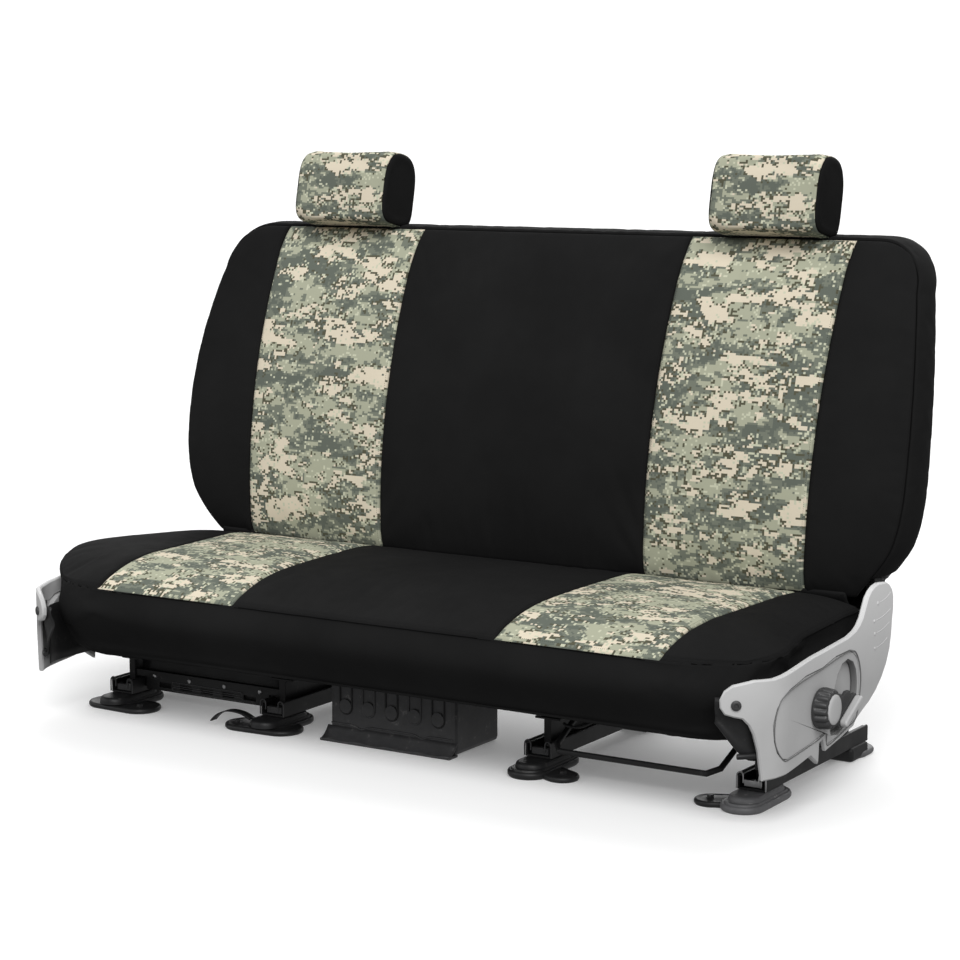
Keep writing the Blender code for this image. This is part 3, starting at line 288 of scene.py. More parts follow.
def moulded_plastic(name, colour, roughness, grain=0.1, painted_top_light=None):
    """Moulded plastic with a fine spark grain; given a paler colour for its top, it turns paler upwards: painted
    light, its upper parts lit brighter.
    """
    paint = Paint(name, colour, roughness, Specular_IOR_Level=0.45)
    where = paint.place()
    broad = paint.noise(where, 9.0, 3.0, 0.55)
    low = tuple(c * 0.93 for c in colour)
    high = tuple(min(c * 1.05, 1.0) for c in colour)
    shade = paint.ramp(broad, ((0.3, low), (0.7, high)))
    if painted_top_light:
        # painted light: the colour blends to the paler top colour from 0.17 m to 0.36 m high
        parts = paint.add("SeparateXYZ")
        paint.join(where, parts, "Vector")
        height = paint.ramp((parts, "Z"), ((0.17, (0, 0, 0)), (0.36, (1, 1, 1))))
        shade = paint.mix(height, shade, painted_top_light)
    paint.colour(shade)
    paint.rough(paint.noise(where, 60.0, 2.0), roughness - 0.05, roughness + 0.08)
    paint.bump(paint.noise(where, 1800.0, 1.0), grain, 0.0002)
    return paint.material


def coated_steel(name="black_coated_steel", bright=1.0):
    """Black e-coat with orange peel, rubbed brighter in spots."""
    paint = Paint(name, (0.008 * bright, 0.008 * bright, 0.0085 * bright), 0.45, 0.0, Specular_IOR_Level=0.3)
    where = paint.place()
    wear = paint.noise(where, 55.0, 4.0, 0.7)
    shades = [tuple(bright * c for c in shade) for shade in ((0.01, 0.01, 0.0105), (0.017, 0.017, 0.0175),
        (0.05, 0.049, 0.048))]
    paint.colour(paint.ramp(wear, tuple(zip((0.0, 0.62, 0.74), shades))))
    paint.rough(paint.noise(where, 18.0, 3.0), 0.3, 0.6)
    paint.bump(paint.noise(where, 420.0, 2.0), 0.15, 0.0004)
    return paint.material


def bright_steel():
    """Bare zinc-plated steel with fine drawing lines and cloudy gloss."""
    paint = Paint("bright_plated_steel", (0.5, 0.5, 0.51), 0.3, 1.0)
    lines = paint.place((1, 60, 1))
    cloud = paint.place()
    paint.colour(paint.ramp(paint.noise(cloud, 30.0, 3.0), ((0.3, (0.3, 0.3, 0.31)), (0.7, (0.6, 0.6, 0.6)))))
    paint.rough(paint.noise(cloud, 40.0, 3.0), 0.2, 0.42)
    paint.bump(paint.noise(lines, 60.0, 2.0), 0.1, 0.0003)
    return paint.material


def fibre_board():
    paint = Paint("fibre_board", (0.16, 0.11, 0.07), 0.85)
    where = paint.place()
    paint.colour(paint.ramp(paint.noise(where, 300.0, 3.0), ((0.3, (0.1, 0.07, 0.045)),
        (0.7, (0.2, 0.145, 0.09)))))
    paint.bump(paint.noise(where, 500.0, 2.0), 0.3, 0.0005)
    return paint.material


def studio_floor():
    paint = Paint("studio_floor", (0.9, 0.9, 0.9), 0.9, Emission_Strength=0.13, Specular_IOR_Level=0.0)
    paint.shader.inputs["Emission Color"].default_value = (1.0, 1.0, 1.0, 1.0)
    where = paint.place()
    paint.bump(paint.noise(where, 40.0, 2.0), 0.02, 0.001)
    return paint.material


LOOKS = {
    "camo_fabric": camo_fabric(),
    "black_neoprene": black_neoprene(),
    # the shield plastic is painted paler towards its top: painted light
    "grey_plastic": moulded_plastic("grey_shield_plastic", (0.47, 0.47, 0.47), 0.42, painted_top_light=(0.78, 0.78, 0.78)),
    "dark_plastic": moulded_plastic("dark_control_plastic", (0.04, 0.04, 0.041), 0.42),
    "black_steel": coated_steel(),
    "bright_steel": bright_steel(),
    "board": fibre_board(),
    "thread": thread("black_thread", (0.006, 0.006, 0.006)),
    "light_face": moulded_plastic("light_control_plastic", (0.5, 0.5, 0.5), 0.36),
    "webbing": thread("black_webbing", (0.01, 0.01, 0.01)),
    "worn_steel": coated_steel("worn_grey_steel", 3.4),
    # a darker copy of the grey plastic: painted shade in the lever recesses and the bezel grooves
    "recess": moulded_plastic("recess_grey_plastic", (0.15, 0.15, 0.15), 0.5),
    "bezel": moulded_plastic("bezel_grey_plastic", (0.47, 0.47, 0.47), 0.45),
    "light_steel": coated_steel("light_grey_steel", 8.0),
}


# ---------------------------------------------------------------- pieces

def dress(obj, slot, body, look=None):
    """Gives a new piece its material, from its look or else its slot, and the body that it rides on."""
    obj.data.materials.clear()
    obj.data.materials.append(LOOKS[look or slot])
    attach(obj, body)
    return obj


def object_from(work, name):
    mesh = bpy.data.meshes.new(name)
    work.to_mesh(mesh)
    work.free()
    obj = bpy.data.objects.new(name, mesh)
    bpy.context.scene.collection.objects.link(obj)
    return obj


def soften(obj, width, segments=2, angle=35, weld=False):
    """Rounds a piece's hard edges, for the light to catch."""
    if weld:
        obj.modifiers.new("weld", "WELD").merge_threshold = 0.00001
    made = obj.modifiers.new("bevel", "BEVEL")
    made.width = width
    made.segments = segments
    made.limit_method = "ANGLE"
    made.angle_limit = math.radians(angle)
    made.harden_normals = False


# ---------------------------------------------------------------- sewn covers

def new_rows(work, places):
    return [[work.verts.new(place) for place in row] for row in places]


class Sewn:
    """Patches of cloth that share their seams, puffed out together and then cut apart."""

    def __init__(self, name):
        self.name = name
        self.work = bmesh.new()
        self.panel = self.work.faces.layers.int.new("panel")
        self.flat = self.work.loops.layers.uv.new("cloth")
        self.names = []

    def patch(self, panel, points, flat, outward):
        """Adds a grid of points, rows of (x, y, z), with the flat place of each."""
        if panel not in self.names:
            self.names.append(panel)
        rows = new_rows(self.work, points)
        number = self.names.index(panel)
        for i in range(len(rows) - 1):
            for j in range(len(rows[0]) - 1):
                spots = ((i, j), (i, j + 1), (i + 1, j + 1), (i + 1, j))
                if not outward:
                    spots = spots[::-1]
                face = self.work.faces.new([rows[a][b] for a, b in spots])
                face[self.panel] = number
                face.smooth = True
                for loop, (a, b) in zip(face.loops, spots):
                    loop[self.flat].uv = flat[a][b]

    def puff(self, pressure, cap, shrink=0.0):
        """Welds the seams and lets the cloth swell between them."""
        bmesh.ops.remove_doubles(self.work, verts=self.work.verts, dist=0.0002)
        self.work.verts.ensure_lookup_table()
        seams = [v.index for v in self.work.verts if v.is_boundary or len({f[self.panel]
            for f in v.link_faces}) > 1]
        obj = object_from(self.work, self.name)
        group = obj.vertex_groups.new(name="seam")
        group.add(seams, 1.0, "REPLACE")
        swell(obj, pressure, cap, shrink)
        more = obj.modifiers.new("finer", "SUBSURF")
        more.levels = 1
        more.render_levels = 1
        self.made = finish_mesh(obj)
        return self.made

    def sink_seams(self, depth):
        """Draws the cloth in along its seams."""
        group = self.made.vertex_groups["seam"].index
        moves = []
        for vertex in self.made.data.vertices:
            weight = next((g.weight for g in vertex.groups if g.group == group), 0.0)
            if weight > 0.2:
                moves.append((vertex, vertex.normal * (-depth * weight ** 1.6)))
        for vertex, move in moves:
            vertex.co += move

    def stitches(self):
        """A stitch beside each seam edge, on both sides, as one mesh."""
        work = bmesh.new()
        work.from_mesh(self.made.data)
        layer = work.faces.layers.int["panel"]
        sewn = bmesh.new()
        for edge in work.edges:
            if len(edge.link_faces) != 2 or edge.link_faces[0][layer] == edge.link_faces[1][layer]:
                continue
            along = (edge.verts[1].co - edge.verts[0].co).normalized()
            for face in edge.link_faces:
                beyond = next((e for e in face.edges if not set(e.verts) & set(edge.verts)), None)
                if beyond is None or len(beyond.link_faces) != 2:
                    continue
                other = next(f for f in beyond.link_faces if f != face)
                add_stitch(sewn, other.calc_center_median(), along, other.normal)
        work.free()
        return object_from(sewn, f"{self.name}_stitching")

    def cut(self):
        """One object for each panel, by name."""
        made = {}
        for number, name in enumerate(self.names):
            work = bmesh.new()
            work.from_mesh(self.made.data)
            layer = work.faces.layers.int["panel"]
            away = [f for f in work.faces if f[layer] != number]
            bmesh.ops.delete(work, geom=away, context="FACES")
            piece = object_from(work, f"{self.name}_{name}")
            made[name] = piece
        bpy.data.objects.remove(self.made, do_unlink=True)
        return made


def add_stitch(work, centre, along, normal, length=0.0026, thick=0.0004):
    """One stitch: a slim spindle lying along the seam."""
    across = along.cross(normal).normalized() * thick
    centre = centre + normal * thick * 0.5
    tips = [work.verts.new(centre + along * (d * length / 2) - normal * thick) for d in (-1, 1)]
    belt = [work.verts.new(centre + v) for v in (across, normal * thick, -across, -normal * thick)]
    for k in range(4):
        a, b = belt[k], belt[(k + 1) % 4]
        work.faces.new((tips[1], a, b)).smooth = True
        work.faces.new((tips[0], b, a)).smooth = True


def finish_mesh(obj):
    """Applies an object's modifiers."""
    graph = bpy.context.evaluated_depsgraph_get()
    mesh = bpy.data.meshes.new_from_object(obj.evaluated_get(graph), preserve_all_data_layers=True,
        depsgraph=graph)
    obj.modifiers.clear()
    obj.data = mesh
    return obj


def swell(obj, pressure, cap, shrink):
    """Cloth under a little pressure, held at its seams, and moved by no more than cap."""
    rest = [v.co.copy() for v in obj.data.vertices]
    cloth = obj.modifiers.new("cloth", "CLOTH")
    settings = cloth.settings
    settings.quality = 4
    settings.mass = 0.25
    settings.vertex_group_mass = "seam"
    settings.use_pressure = True
    settings.uniform_pressure_force = pressure
    settings.shrink_min = shrink
    settings.effector_weights.gravity = 0.0
    cloth.point_cache.frame_start = 1
    cloth.point_cache.frame_end = 20
    scene = bpy.context.scene
    for number in range(1, 21):
        scene.frame_set(number)
    graph = bpy.context.evaluated_depsgraph_get()
    moved = [v.co.copy() for v in obj.evaluated_get(graph).data.vertices]
    obj.modifiers.remove(cloth)
    scene.frame_set(1)
    for vertex, start, end in zip(obj.data.vertices, rest, moved):
        step = end - start
        length = step.length
        if length > 1e-9:
            vertex.co = start + step * (cap * math.tanh(length / cap) / length)


def steps(length):
    return max(round(length / PITCH), 2)


def coons(inner, outer, low, high, across, along):
    """Rows of (x, y) between four edges: inner and outer run along, low and high across."""
    rows = []
    corners = (inner(0.0), outer(0.0), inner(1.0), outer(1.0))
    for i in range(along + 1):
        t = i / along
        row = []
        for j in range(across + 1):
            s = j / across
            point = []
            for k in (0, 1):
                value = lerp(inner(t)[k], outer(t)[k], s) + lerp(low(s)[k], high(s)[k], t)
                value -= lerp(lerp(corners[0][k], corners[1][k], s), lerp(corners[2][k], corners[3][k], s), t)
                point.append(value)
            row.append(tuple(point))
        rows.append(row)
    return rows


def along_path(path):
    """The point at a share of a polyline's length, as a function."""
    runs = [0.0]
    for a, b in zip(path, path[1:]):
        runs.append(runs[-1] + math.dist(a, b))

    def at(share):
        want = share * runs[-1]
        for k in range(1, len(path)):
            if want <= runs[k] or k == len(path) - 1:
                t = (want - runs[k - 1]) / max(runs[k] - runs[k - 1], 1e-9)
                return tuple(lerp(a, b, t) for a, b in zip(path[k - 1], path[k]))
        return path[-1]

    return at


def arc(centre, radius, start, stop, count=12):
    made = []
    for k in range(count + 1):
        angle = math.radians(lerp(start, stop, k / count))
        made.append((centre[0] + radius * math.cos(angle), centre[1] + radius * math.sin(angle)))
    return made


def five_strips(edge, bolster, along, lower, upper):
    """Rows of plan points for the five strips of a face, left to right.

    edge(t, side) is a stripe's seam, and bolster the right outer strip's rows.
    """
    count_insert = steps(edge(0.5, 1) - edge(0.5, -1))
    count_center = steps(2 * edge(0.5, -1))

    def strip(left, right, count):
        rows = []
        for i in range(along + 1):
            t = i / along
            rows.append([(lerp(left(t), right(t), j / count), lerp(lower, upper, t))
                for j in range(count + 1)])
        return rows

    center = strip(lambda t: -edge(t, -1), lambda t: edge(t, -1), count_center)
    insert = strip(lambda t: edge(t, -1), lambda t: edge(t, 1), count_insert)

    def mirror(rows):
        return [[(-x, y) for x, y in reversed(row)] for row in rows]

    return {"left_bolster": mirror(bolster), "left_insert": mirror(insert), "center": center,
        "right_insert": insert, "right_bolster": bolster}


def end_points(strips, end):
    """The plan points along a face's first row (end 0) or last row (end -1), right to left."""
    made = []
    for name in ("right_bolster", "right_insert", "center", "left_insert", "left_bolster"):
        made += list(reversed(strips[name][end]))[1:]
    return made


def back_border(strips):
    """The backrest's free edge: up the right side, along the top, down the left."""
    right = [row[-1] for row in strips["right_bolster"]]
    left = [row[0] for row in reversed(strips["left_bolster"])][1:]
    return right + end_points(strips, -1) + left


def seat_border(strips):
    """The cushion's free edge: forward along the right side, along the front, back along the left."""
    right = [row[-1] for row in reversed(strips["right_bolster"])]
    left = [row[0] for row in strips["left_bolster"]][1:]
    return right + end_points(strips, 0) + left


# ---------------------------------------------------------------- backrest

def back_front(z):
    if z < PIVOT_Z:
        return PIVOT_Y - math.sqrt(ROLL ** 2 - (z - PIVOT_Z) ** 2)
    h = z - 0.4
    return BACK_FACE_Y + 0.06 * h + 0.49 * h * h


def back_rear(z):
    if z < PIVOT_Z:
        return PIVOT_Y + math.sqrt(ROLL ** 2 - (z - PIVOT_Z) ** 2)
    return back_front(z) + lerp(*BACK_THICK, (z - PIVOT_Z) / (BACK_TOP - PIVOT_Z))


def back_side(z):
    if z < 0.53:
        return BACK_HALF - 0.048 * ((0.53 - z) / 0.21) ** 3
    return BACK_HALF - 0.045 * ((z - 0.53) / 0.35) ** 2


def back_half(z):
    corner = BACK_TOP - BACK_CORNER
    if z <= corner:
        return back_side(z)
    rise = min(z - corner, BACK_CORNER)
    return back_side(corner) - BACK_CORNER + math.sqrt(max(BACK_CORNER ** 2 - rise ** 2, 0.0))


def turned(x, z):
    """0 in the middle of a face and 1 at its outline."""
    across = abs(x) / max(back_half(z), 0.1)
    up = max(z - 0.6, 0.0) / (BACK_TOP - 0.6)
    return min(max(across, up), 1.0) ** 9


def back_edge(t, side):
    z = lerp(FACE_LOW, BACK_TOP, t)
    share = max((z - PIVOT_Z) / (BACK_TOP - PIVOT_Z), 0.0)
    centre, half = (lerp(a, b, share) for a, b in zip(STRIPES["fold"], STRIPES["top"]))
    return centre + side * half


def back_plan():
    corner_z = BACK_TOP - BACK_CORNER
    corner = (back_side(corner_z) - BACK_CORNER, corner_z)
    up = [(back_side(lerp(FACE_LOW, corner_z, k / 30)), lerp(FACE_LOW, corner_z, k / 30)) for k in range(31)]
    outer = along_path(up + arc(corner, BACK_CORNER, 0, 45)[1:])
    top = along_path([(back_edge(1.0, 1), BACK_TOP), (corner[0], BACK_TOP)]
        + arc(corner, BACK_CORNER, 90, 45)[1:])
    low = along_path([(back_edge(0.0, 1), FACE_LOW), (back_side(FACE_LOW), FACE_LOW)])
    along = steps(BACK_TOP - FACE_LOW)

    def inner(t):
        return (back_edge(t, 1), lerp(FACE_LOW, BACK_TOP, t))

    bolster = coons(inner, outer, low, top, 22, along)
    return five_strips(back_edge, bolster, along, FACE_LOW, BACK_TOP)


def make_back_cover():
    sewn = Sewn("back_cover")
    strips = back_plan()
    for name, rows in strips.items():
        front = [[(x, back_front(z) + BACK_EDGE * turned(x, z), z) for x, z in row] for row in rows]
        sewn.patch(name, front, rows, True)
        rear = [[(x, back_rear(z) - BACK_EDGE * turned(x, z), z) for x, z in row] for row in rows]
        sewn.patch("rear_panel", rear, rows, False)
    outline = [spot for spot in back_border(strips) if spot[1] > PIVOT_Z - 0.008]
    rows, flat = [], []
    count = 16
    run = 0.0
    before = outline[0]
    for x, z in outline:
        run += math.dist(before, (x, z))
        before = (x, z)
        front, rear = back_front(z) + BACK_EDGE * turned(x, z), back_rear(z) - BACK_EDGE * turned(x, z)
        rising = smooth(z, BACK_TOP - BACK_CORNER, BACK_TOP)
        bulge = lerp(0.008, 0.003, rising)
        side = math.copysign(1.0, x) * (1 - rising)
        row, places = [], []
        for k in range(count + 1):
            v = k / count
            out = bulge * 4 * v * (1 - v)
            row.append((x + side * out, lerp(front, rear, v), z + rising * out))
            places.append((run, v * 0.12))
        rows.append(row)
        flat.append(places)
    sewn.patch("boxing", rows, flat, True)
    under = 18
    rows, flat = [], []
    for k in range(under + 1):
        angle = math.radians(lerp(24, 156, k / under))
        y, z = PIVOT_Y - (ROLL - 0.002) * math.cos(angle), PIVOT_Z - (ROLL - 0.002) * math.sin(angle)
        xs = [lerp(-ROLL_HALF, ROLL_HALF, j / 90) for j in range(91)]
        rows.append([(x, y, z) for x in xs])
        flat.append([(x, -k * 0.009) for x in xs])
    sewn.patch("rear_panel", rows, flat, False)
    sewn.puff(*COVER_PUFF)
    for vert in sewn.made.data.vertices:
        share = smooth(abs(vert.co.x), 0.655, 0.7) * (1 - smooth(vert.co.z, 0.3, 0.38))
        vert.co.x -= math.copysign(0.011 * share, vert.co.x)
    sewn.sink_seams(SEAM_DEPTH)
    return sewn.stitches(), sewn.cut()


# ---------------------------------------------------------------- cushion

def seat_edge(t, side):
    centre, half = (lerp(a, b, t) for a, b in zip(STRIPES["front"], STRIPES["fold"]))
    return centre + side * half


def seat_plan():
    corner = (SEAT_HALF - SEAT_CORNER, SEAT_FRONT + SEAT_CORNER)
    outer = along_path(arc(corner, SEAT_CORNER, -45, 0) + [(SEAT_HALF, SEAT_REAR)])
    front = along_path([(seat_edge(0.0, 1), SEAT_FRONT)] + arc(corner, SEAT_CORNER, -90, -45))
    rear = along_path([(seat_edge(1.0, 1), SEAT_REAR), (SEAT_HALF, SEAT_REAR)])
    along = steps(SEAT_REAR - SEAT_FRONT)

    def inner(t):
        return (seat_edge(t, 1), lerp(SEAT_FRONT, SEAT_REAR, t))

    bolster = coons(inner, outer, front, rear, 26, along)
    return five_strips(seat_edge, bolster, along, SEAT_FRONT, SEAT_REAR)


def seat_inside(x, y):
    """How far a point lies inside the cushion's outline."""
    over_x = abs(x) - (SEAT_HALF - SEAT_CORNER)
    over_y = SEAT_FRONT + SEAT_CORNER - y
    outside = math.hypot(max(over_x, 0.0), max(over_y, 0.0))
    return max(SEAT_CORNER - outside - min(max(over_x, over_y), 0.0), 0.0)


def seam_level(y):
    return SEAM_Z + SEAM_RISE * min(max((y - SEAT_FRONT - 0.05) / 0.35, 0.0), 1.0)


def seat_top(x, y):
    crown = 1 - math.exp(-seat_inside(x, y) / 0.07)
    level = seam_level(y) - SEAM_Z
    drop = 0.01 * math.exp(-(SEAT_REAR - y) / 0.03)
    return SEAM_Z + level + (CROWN - 0.9 * level - drop) * crown


def left_swell(x, y):
    """How far the left end of the cushion stands out over its shield."""
    rear = 1 - smooth(y, SEAT_REAR - 0.24, SEAT_REAR + 0.03)
    return 0.084 * smooth(-x, 0.6, SEAT_HALF) * smooth(y, SEAT_FRONT + 0.02, SEAT_FRONT + 0.26) * rear


def right_inset(x, y):
    """How far the top seam stands in from the cushion's right end, which slopes out below it."""
    return 0.04 * smooth(x, 0.6, SEAT_HALF) * smooth(y, SEAT_FRONT + 0.03, SEAT_FRONT + 0.26)


def seat_point(x, y):
    swell_out = left_swell(x, y)
    lift = 0.01 * swell_out / 0.084
    return (x - swell_out - right_inset(x, y), y, seat_top(x, y) + lift)


def make_seat_cover():
    sewn = Sewn("seat_cover")
    strips = seat_plan()
    for name, rows in strips.items():
        top = [[seat_point(x, y) for x, y in row] for row in rows]
        sewn.patch(name, top, rows, True)

    outline = seat_border(strips)
    rows, flat = [], []
    run = 0.0
    before = outline[0]
    count = 22
    for x, y in outline:
        run += math.dist(before, (x, y))
        before = (x, y)
        corner_x, corner_y = SEAT_HALF - SEAT_CORNER, SEAT_FRONT + SEAT_CORNER
        facing = Vector((math.copysign(max(abs(x) - corner_x, 0.0), x), min(y - corner_y, 0.0), 0.0))
        facing = facing.normalized()
        ahead = max(-facing.y, 0.0)
        seam = seat_point(x, y)
        row, places = [], []
        for k in range(count + 1):
            share = k / count
            if share <= 0.86:
                fall = share / 0.86
                bulge = 0.021 * math.sin(math.pi * fall / 0.8)
                tuck = -0.017 * smooth(fall, 0.0, 0.3)
                out = lerp(tuck, bulge, ahead)
                z = lerp(seam[2], SKIRT_LOW + 0.01, fall)
                over = left_swell(x, y) * (1 - smooth(seam[2] - z, 0.002, 0.016))
                over += right_inset(x, y) * (1 - smooth(seam[2] - z, 0.0, 0.07))
            else:
                hem = (share - 0.86) / 0.14
                out = lerp(lerp(-0.017, -0.015, ahead), -0.036, smooth(hem, 0, 1.3))
                z = SKIRT_LOW + 0.01 * (1 - math.sin(hem * math.pi / 2))
                over = 0.0
            row.append((x + facing.x * out - over, y + facing.y * out, z))
            places.append((run, -share * 0.13))
        rows.append(row)
        flat.append(places)
    sewn.patch("skirt", rows, flat, True)
    sewn.puff(*COVER_PUFF)
    sewn.sink_seams(SEAM_DEPTH)
    return sewn.stitches(), sewn.cut()


# ---------------------------------------------------------------- headrests

def headrest_point(x, angle, centre, grow=0.0):
    """A point on a headrest: x along it and angle round it from the bottom forwards."""
    long_half, depth, height = (v + grow for v in HEAD_HALF)
    scale = max(1 - (abs(x) / long_half) ** 12, 0.0) ** (1 / 2.6)
    a, b = -math.sin(angle), -math.cos(angle)
    power = 2 / (4.4 if b < 0 else 2.6)
    across = math.copysign(abs(a) ** power, a) * depth * scale
    up = math.copysign(abs(b) ** power, b) * height * scale
    y = centre.y + across * math.cos(LEAN) + up * math.sin(LEAN)
    z = centre.z - across * math.sin(LEAN) + up * math.cos(LEAN)
    return (centre.x + x, y, z)


def make_headrest_covers():
    """One headrest's cover, simulated once and copied to both places."""
    low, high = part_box("headrest_wrap_right")
    middle = (low + high) / 2 - Vector((0, 0, HEAD_DROP))
    sewn = Sewn("headrest")
    ring = 56
    angles = [2 * math.pi * k / ring for k in range(ring + 1)]
    wrap_xs = [lerp(-HEAD_SEAM, HEAD_SEAM, k / 26) for k in range(27)]

    def rows_at(xs):
        return [[headrest_point(x, a, middle) for a in angles] for x in xs]

    girth = [0.0]
    loop = rows_at([0.0])[0]
    for before, after in zip(loop, loop[1:]):
        girth.append(girth[-1] + math.dist(before, after))

    def flat_at(xs):
        return [[(x, g) for g in girth] for x in xs]

    sewn.patch("wrap", rows_at(wrap_xs), flat_at(wrap_xs), True)
    rim = rows_at([HEAD_SEAM])[0]
    rounds = []
    for k in range(13):
        scale = 1 - k / 12
        out = CAP_RISE * math.sqrt(1 - scale ** 4)
        rounds.append([(x + out, lerp(middle.y, y, scale), lerp(middle.z, z, scale)) for x, y, z in rim])
    flat = [[(0.3 + k * 0.01, g) for g in girth] for k in range(len(rounds))]
    sewn.patch("right_cap", rounds, flat, True)
    mirror = [[(2 * middle.x - x, y, z) for x, y, z in row] for row in rounds]
    sewn.patch("left_cap", mirror, flat, False)
    sewn.puff(3.0, 0.005, -0.003)
    sewn.sink_seams(0.0024)
    return sewn.stitches(), sewn.cut(), middle


# ---------------------------------------------------------------- small shapes

def skin(work, rows):
    """Faces between rows of vertices."""
    for a, b in zip(rows, rows[1:]):
        for j in range(len(a) - 1):
            work.faces.new((a[j], b[j], b[j + 1], a[j + 1])).smooth = True
    bmesh.ops.recalc_face_normals(work, faces=work.faces)


def band(work, low, high):
    """Faces between two closed rings of vertices."""
    for k in range(len(low)):
        j = (k + 1) % len(low)
        work.faces.new((low[k], low[j], high[j], high[k])).smooth = True


def thicken(obj, thickness, offset=0.0):
    solid = obj.modifiers.new("thickness", "SOLIDIFY")
    solid.thickness = thickness
    solid.offset = offset


def board(name, places, thickness, slot, body, look=None):
    """A sheet through rows of places, thickened both ways."""
    work = bmesh.new()
    skin(work, new_rows(work, places))
    piece = object_from(work, name)
    thicken(piece, thickness)
    return dress(piece, slot, body, look)


def pressed_strip(name, places, thickness, body, look=None):
    """A sheet through rows of places, thickened on its back only."""
    work = bmesh.new()
    rows = new_rows(work, places)
    for a, b in zip(rows, rows[1:]):
        for j in range(len(a) - 1):
            work.faces.new((a[j], a[j + 1], b[j + 1], b[j])).smooth = True
    piece = object_from(work, name)
    thicken(piece, thickness, -1.0)
    return dress(piece, "black_steel", body, look)


def wire(name, points, radius, slot, body, cyclic=False, look=None, sides=3):
    """A round rod or bead along points."""
    data = bpy.data.curves.new(name, "CURVE")
    data.dimensions = "3D"
    data.bevel_depth = radius
    data.bevel_resolution = sides
    data.use_fill_caps = not cyclic
    spline = data.splines.new("POLY")
    spline.points.add(len(points) - 1)
    for point, where in zip(spline.points, points):
        point.co = (*where, 1.0)
    spline.use_cyclic_u = cyclic
    spline.use_smooth = True
    obj = bpy.data.objects.new(name, data)
    bpy.context.scene.collection.objects.link(obj)
    return dress(obj, slot, body, look)


def rounded(points, each=6, cyclic=False):
    """A smooth path through points (Catmull-Rom)."""
    points = [Vector(p) for p in points]
    count = len(points)
    made = []
    spans = count if cyclic else count - 1
    for k in range(spans):
        if cyclic:
            a, b, c, d = (points[(k + o) % count] for o in (-1, 0, 1, 2))
        else:
            a, b, c, d = (points[min(max(k + o, 0), count - 1)] for o in (-1, 0, 1, 2))
        for j in range(each):
            t = j / each
            made.append(0.5 * (2 * b + (c - a) * t + (2 * a - 5 * b + 4 * c - d) * t * t
                + (3 * b - a - 3 * c + d) * t ** 3))
    if not cyclic:
        made.append(points[-1])
    return made


def turned_shape(name, profile, place, axis, steps_round=28, shape=None):
    """A turned piece: profile is (along, radius) points, and shape(angle, along) scales the radius."""
    work = bmesh.new()
    rows = []
    for along, radius in profile:
        row = []
        for k in range(steps_round):
            angle = 2 * math.pi * k / steps_round
            r = radius * (shape(angle, along) if shape else 1.0)
            row.append(work.verts.new((r * math.cos(angle), r * math.sin(angle), along)))
        rows.append(row)
    for low, high in zip(rows, rows[1:]):
        band(work, low, high)
    work.faces.new(list(reversed(rows[0])))
    work.faces.new(rows[-1])
    turn = Vector(axis).to_track_quat("Z", "Y").to_matrix().to_4x4()
    bmesh.ops.transform(work, matrix=Matrix.Translation(place) @ turn, verts=work.verts)
    obj = object_from(work, name)
    obj.data.set_sharp_from_angle(angle=math.radians(42))
    return obj


def hex_bolt(name, place, axis, size, slot, body, look=None):
    """A hexagon bolt head on its washer, with a chamfered top."""
    washer = turned_shape(name + "_washer", ((0, size * 1.25), (size * 0.22, size * 1.25),
        (size * 0.3, size * 1.15)), place, axis, 20)
    head = turned_shape(name + "_head", ((size * 0.28, size), (size * 0.85, size),
        (size * 1.05, size * 0.82)), place, axis, 6)
    dress(washer, slot, body, look)
    dress(head, slot, body, look)


def oblong(x_low, x_high, y_low, y_high):
    return [(x_low, y_low), (x_high, y_low), (x_high, y_high), (x_low, y_high)]


def stadium(a, b, radius, count, way=0.0):
    """Half circles round two plan points; way is the direction in degrees from a to b."""
    return arc(b, radius, way - 90, way + 90, count) + arc(a, radius, way + 90, way + 270, count)


def slab(name, outline, low, high, edge=0.003, sweep="Z"):
    """A flat piece with a plan outline, low to high thick, with rounded edges."""
    work = bmesh.new()
    if sweep == "Z":
        loops = [[work.verts.new((x, y, z)) for x, y in outline] for z in (low, high)]
    else:
        loops = [[work.verts.new((x, y, z)) for y, z in outline] for x in (low, high)]
    band(work, *loops)
    work.faces.new(loops[0])
    work.faces.new(loops[1])
    bmesh.ops.recalc_face_normals(work, faces=work.faces)
    obj = object_from(work, name)
    for polygon in obj.data.polygons:
        polygon.use_smooth = True
    obj.data.set_sharp_from_angle(angle=math.radians(50))
    soften(obj, edge, 3, 50)
    return obj


def mirror_x(obj):
    obj.data.transform(Matrix.Diagonal((-1.0, 1.0, 1.0, 1.0)))
    obj.data.flip_normals()
    return obj


# ---------------------------------------------------------------- controls

SHIFT_Y = PIVOT_Y - 0.185
SHIELD_X = 0.76
BEND_Y = -0.28 + SHIFT_Y
BEND_RADIUS = 0.115
SHADE_SHEET_OUT = -0.0215          # of the dark sheet inside the shield, painted shade, from the shield's outer face
KNOB = Vector(JOINTS["lumbar_knob_turn"]["pos_m"])
LEVER = Vector(JOINTS["recline_lever_right_lift"]["pos_m"])
BEZEL = ((-0.315, 0.192), (-0.283, 0.216), (-0.163, 0.228), (-0.058, 0.238), (-0.025, 0.222),
    (-0.012, 0.182), (-0.023, 0.131), (-0.037, 0.118), (-0.06, 0.114), (-0.138, 0.1005), (-0.1455, 0.121),
    (-0.18, 0.117), (-0.272, 0.109), (-0.3, 0.111), (-0.32, 0.143))


def on_shield(y, z, out, side=1):
    """A point on a shield's outer face, which bends round the cushion's front corner."""
    run = BEND_Y - y
    if run <= 0:
        return Vector((side * (SHIELD_X + out), y, z))
    angle = run / BEND_RADIUS
    radius = BEND_RADIUS + out
    return Vector((side * (SHIELD_X - BEND_RADIUS + radius * math.cos(angle)),
        BEND_Y - radius * math.sin(angle), z))


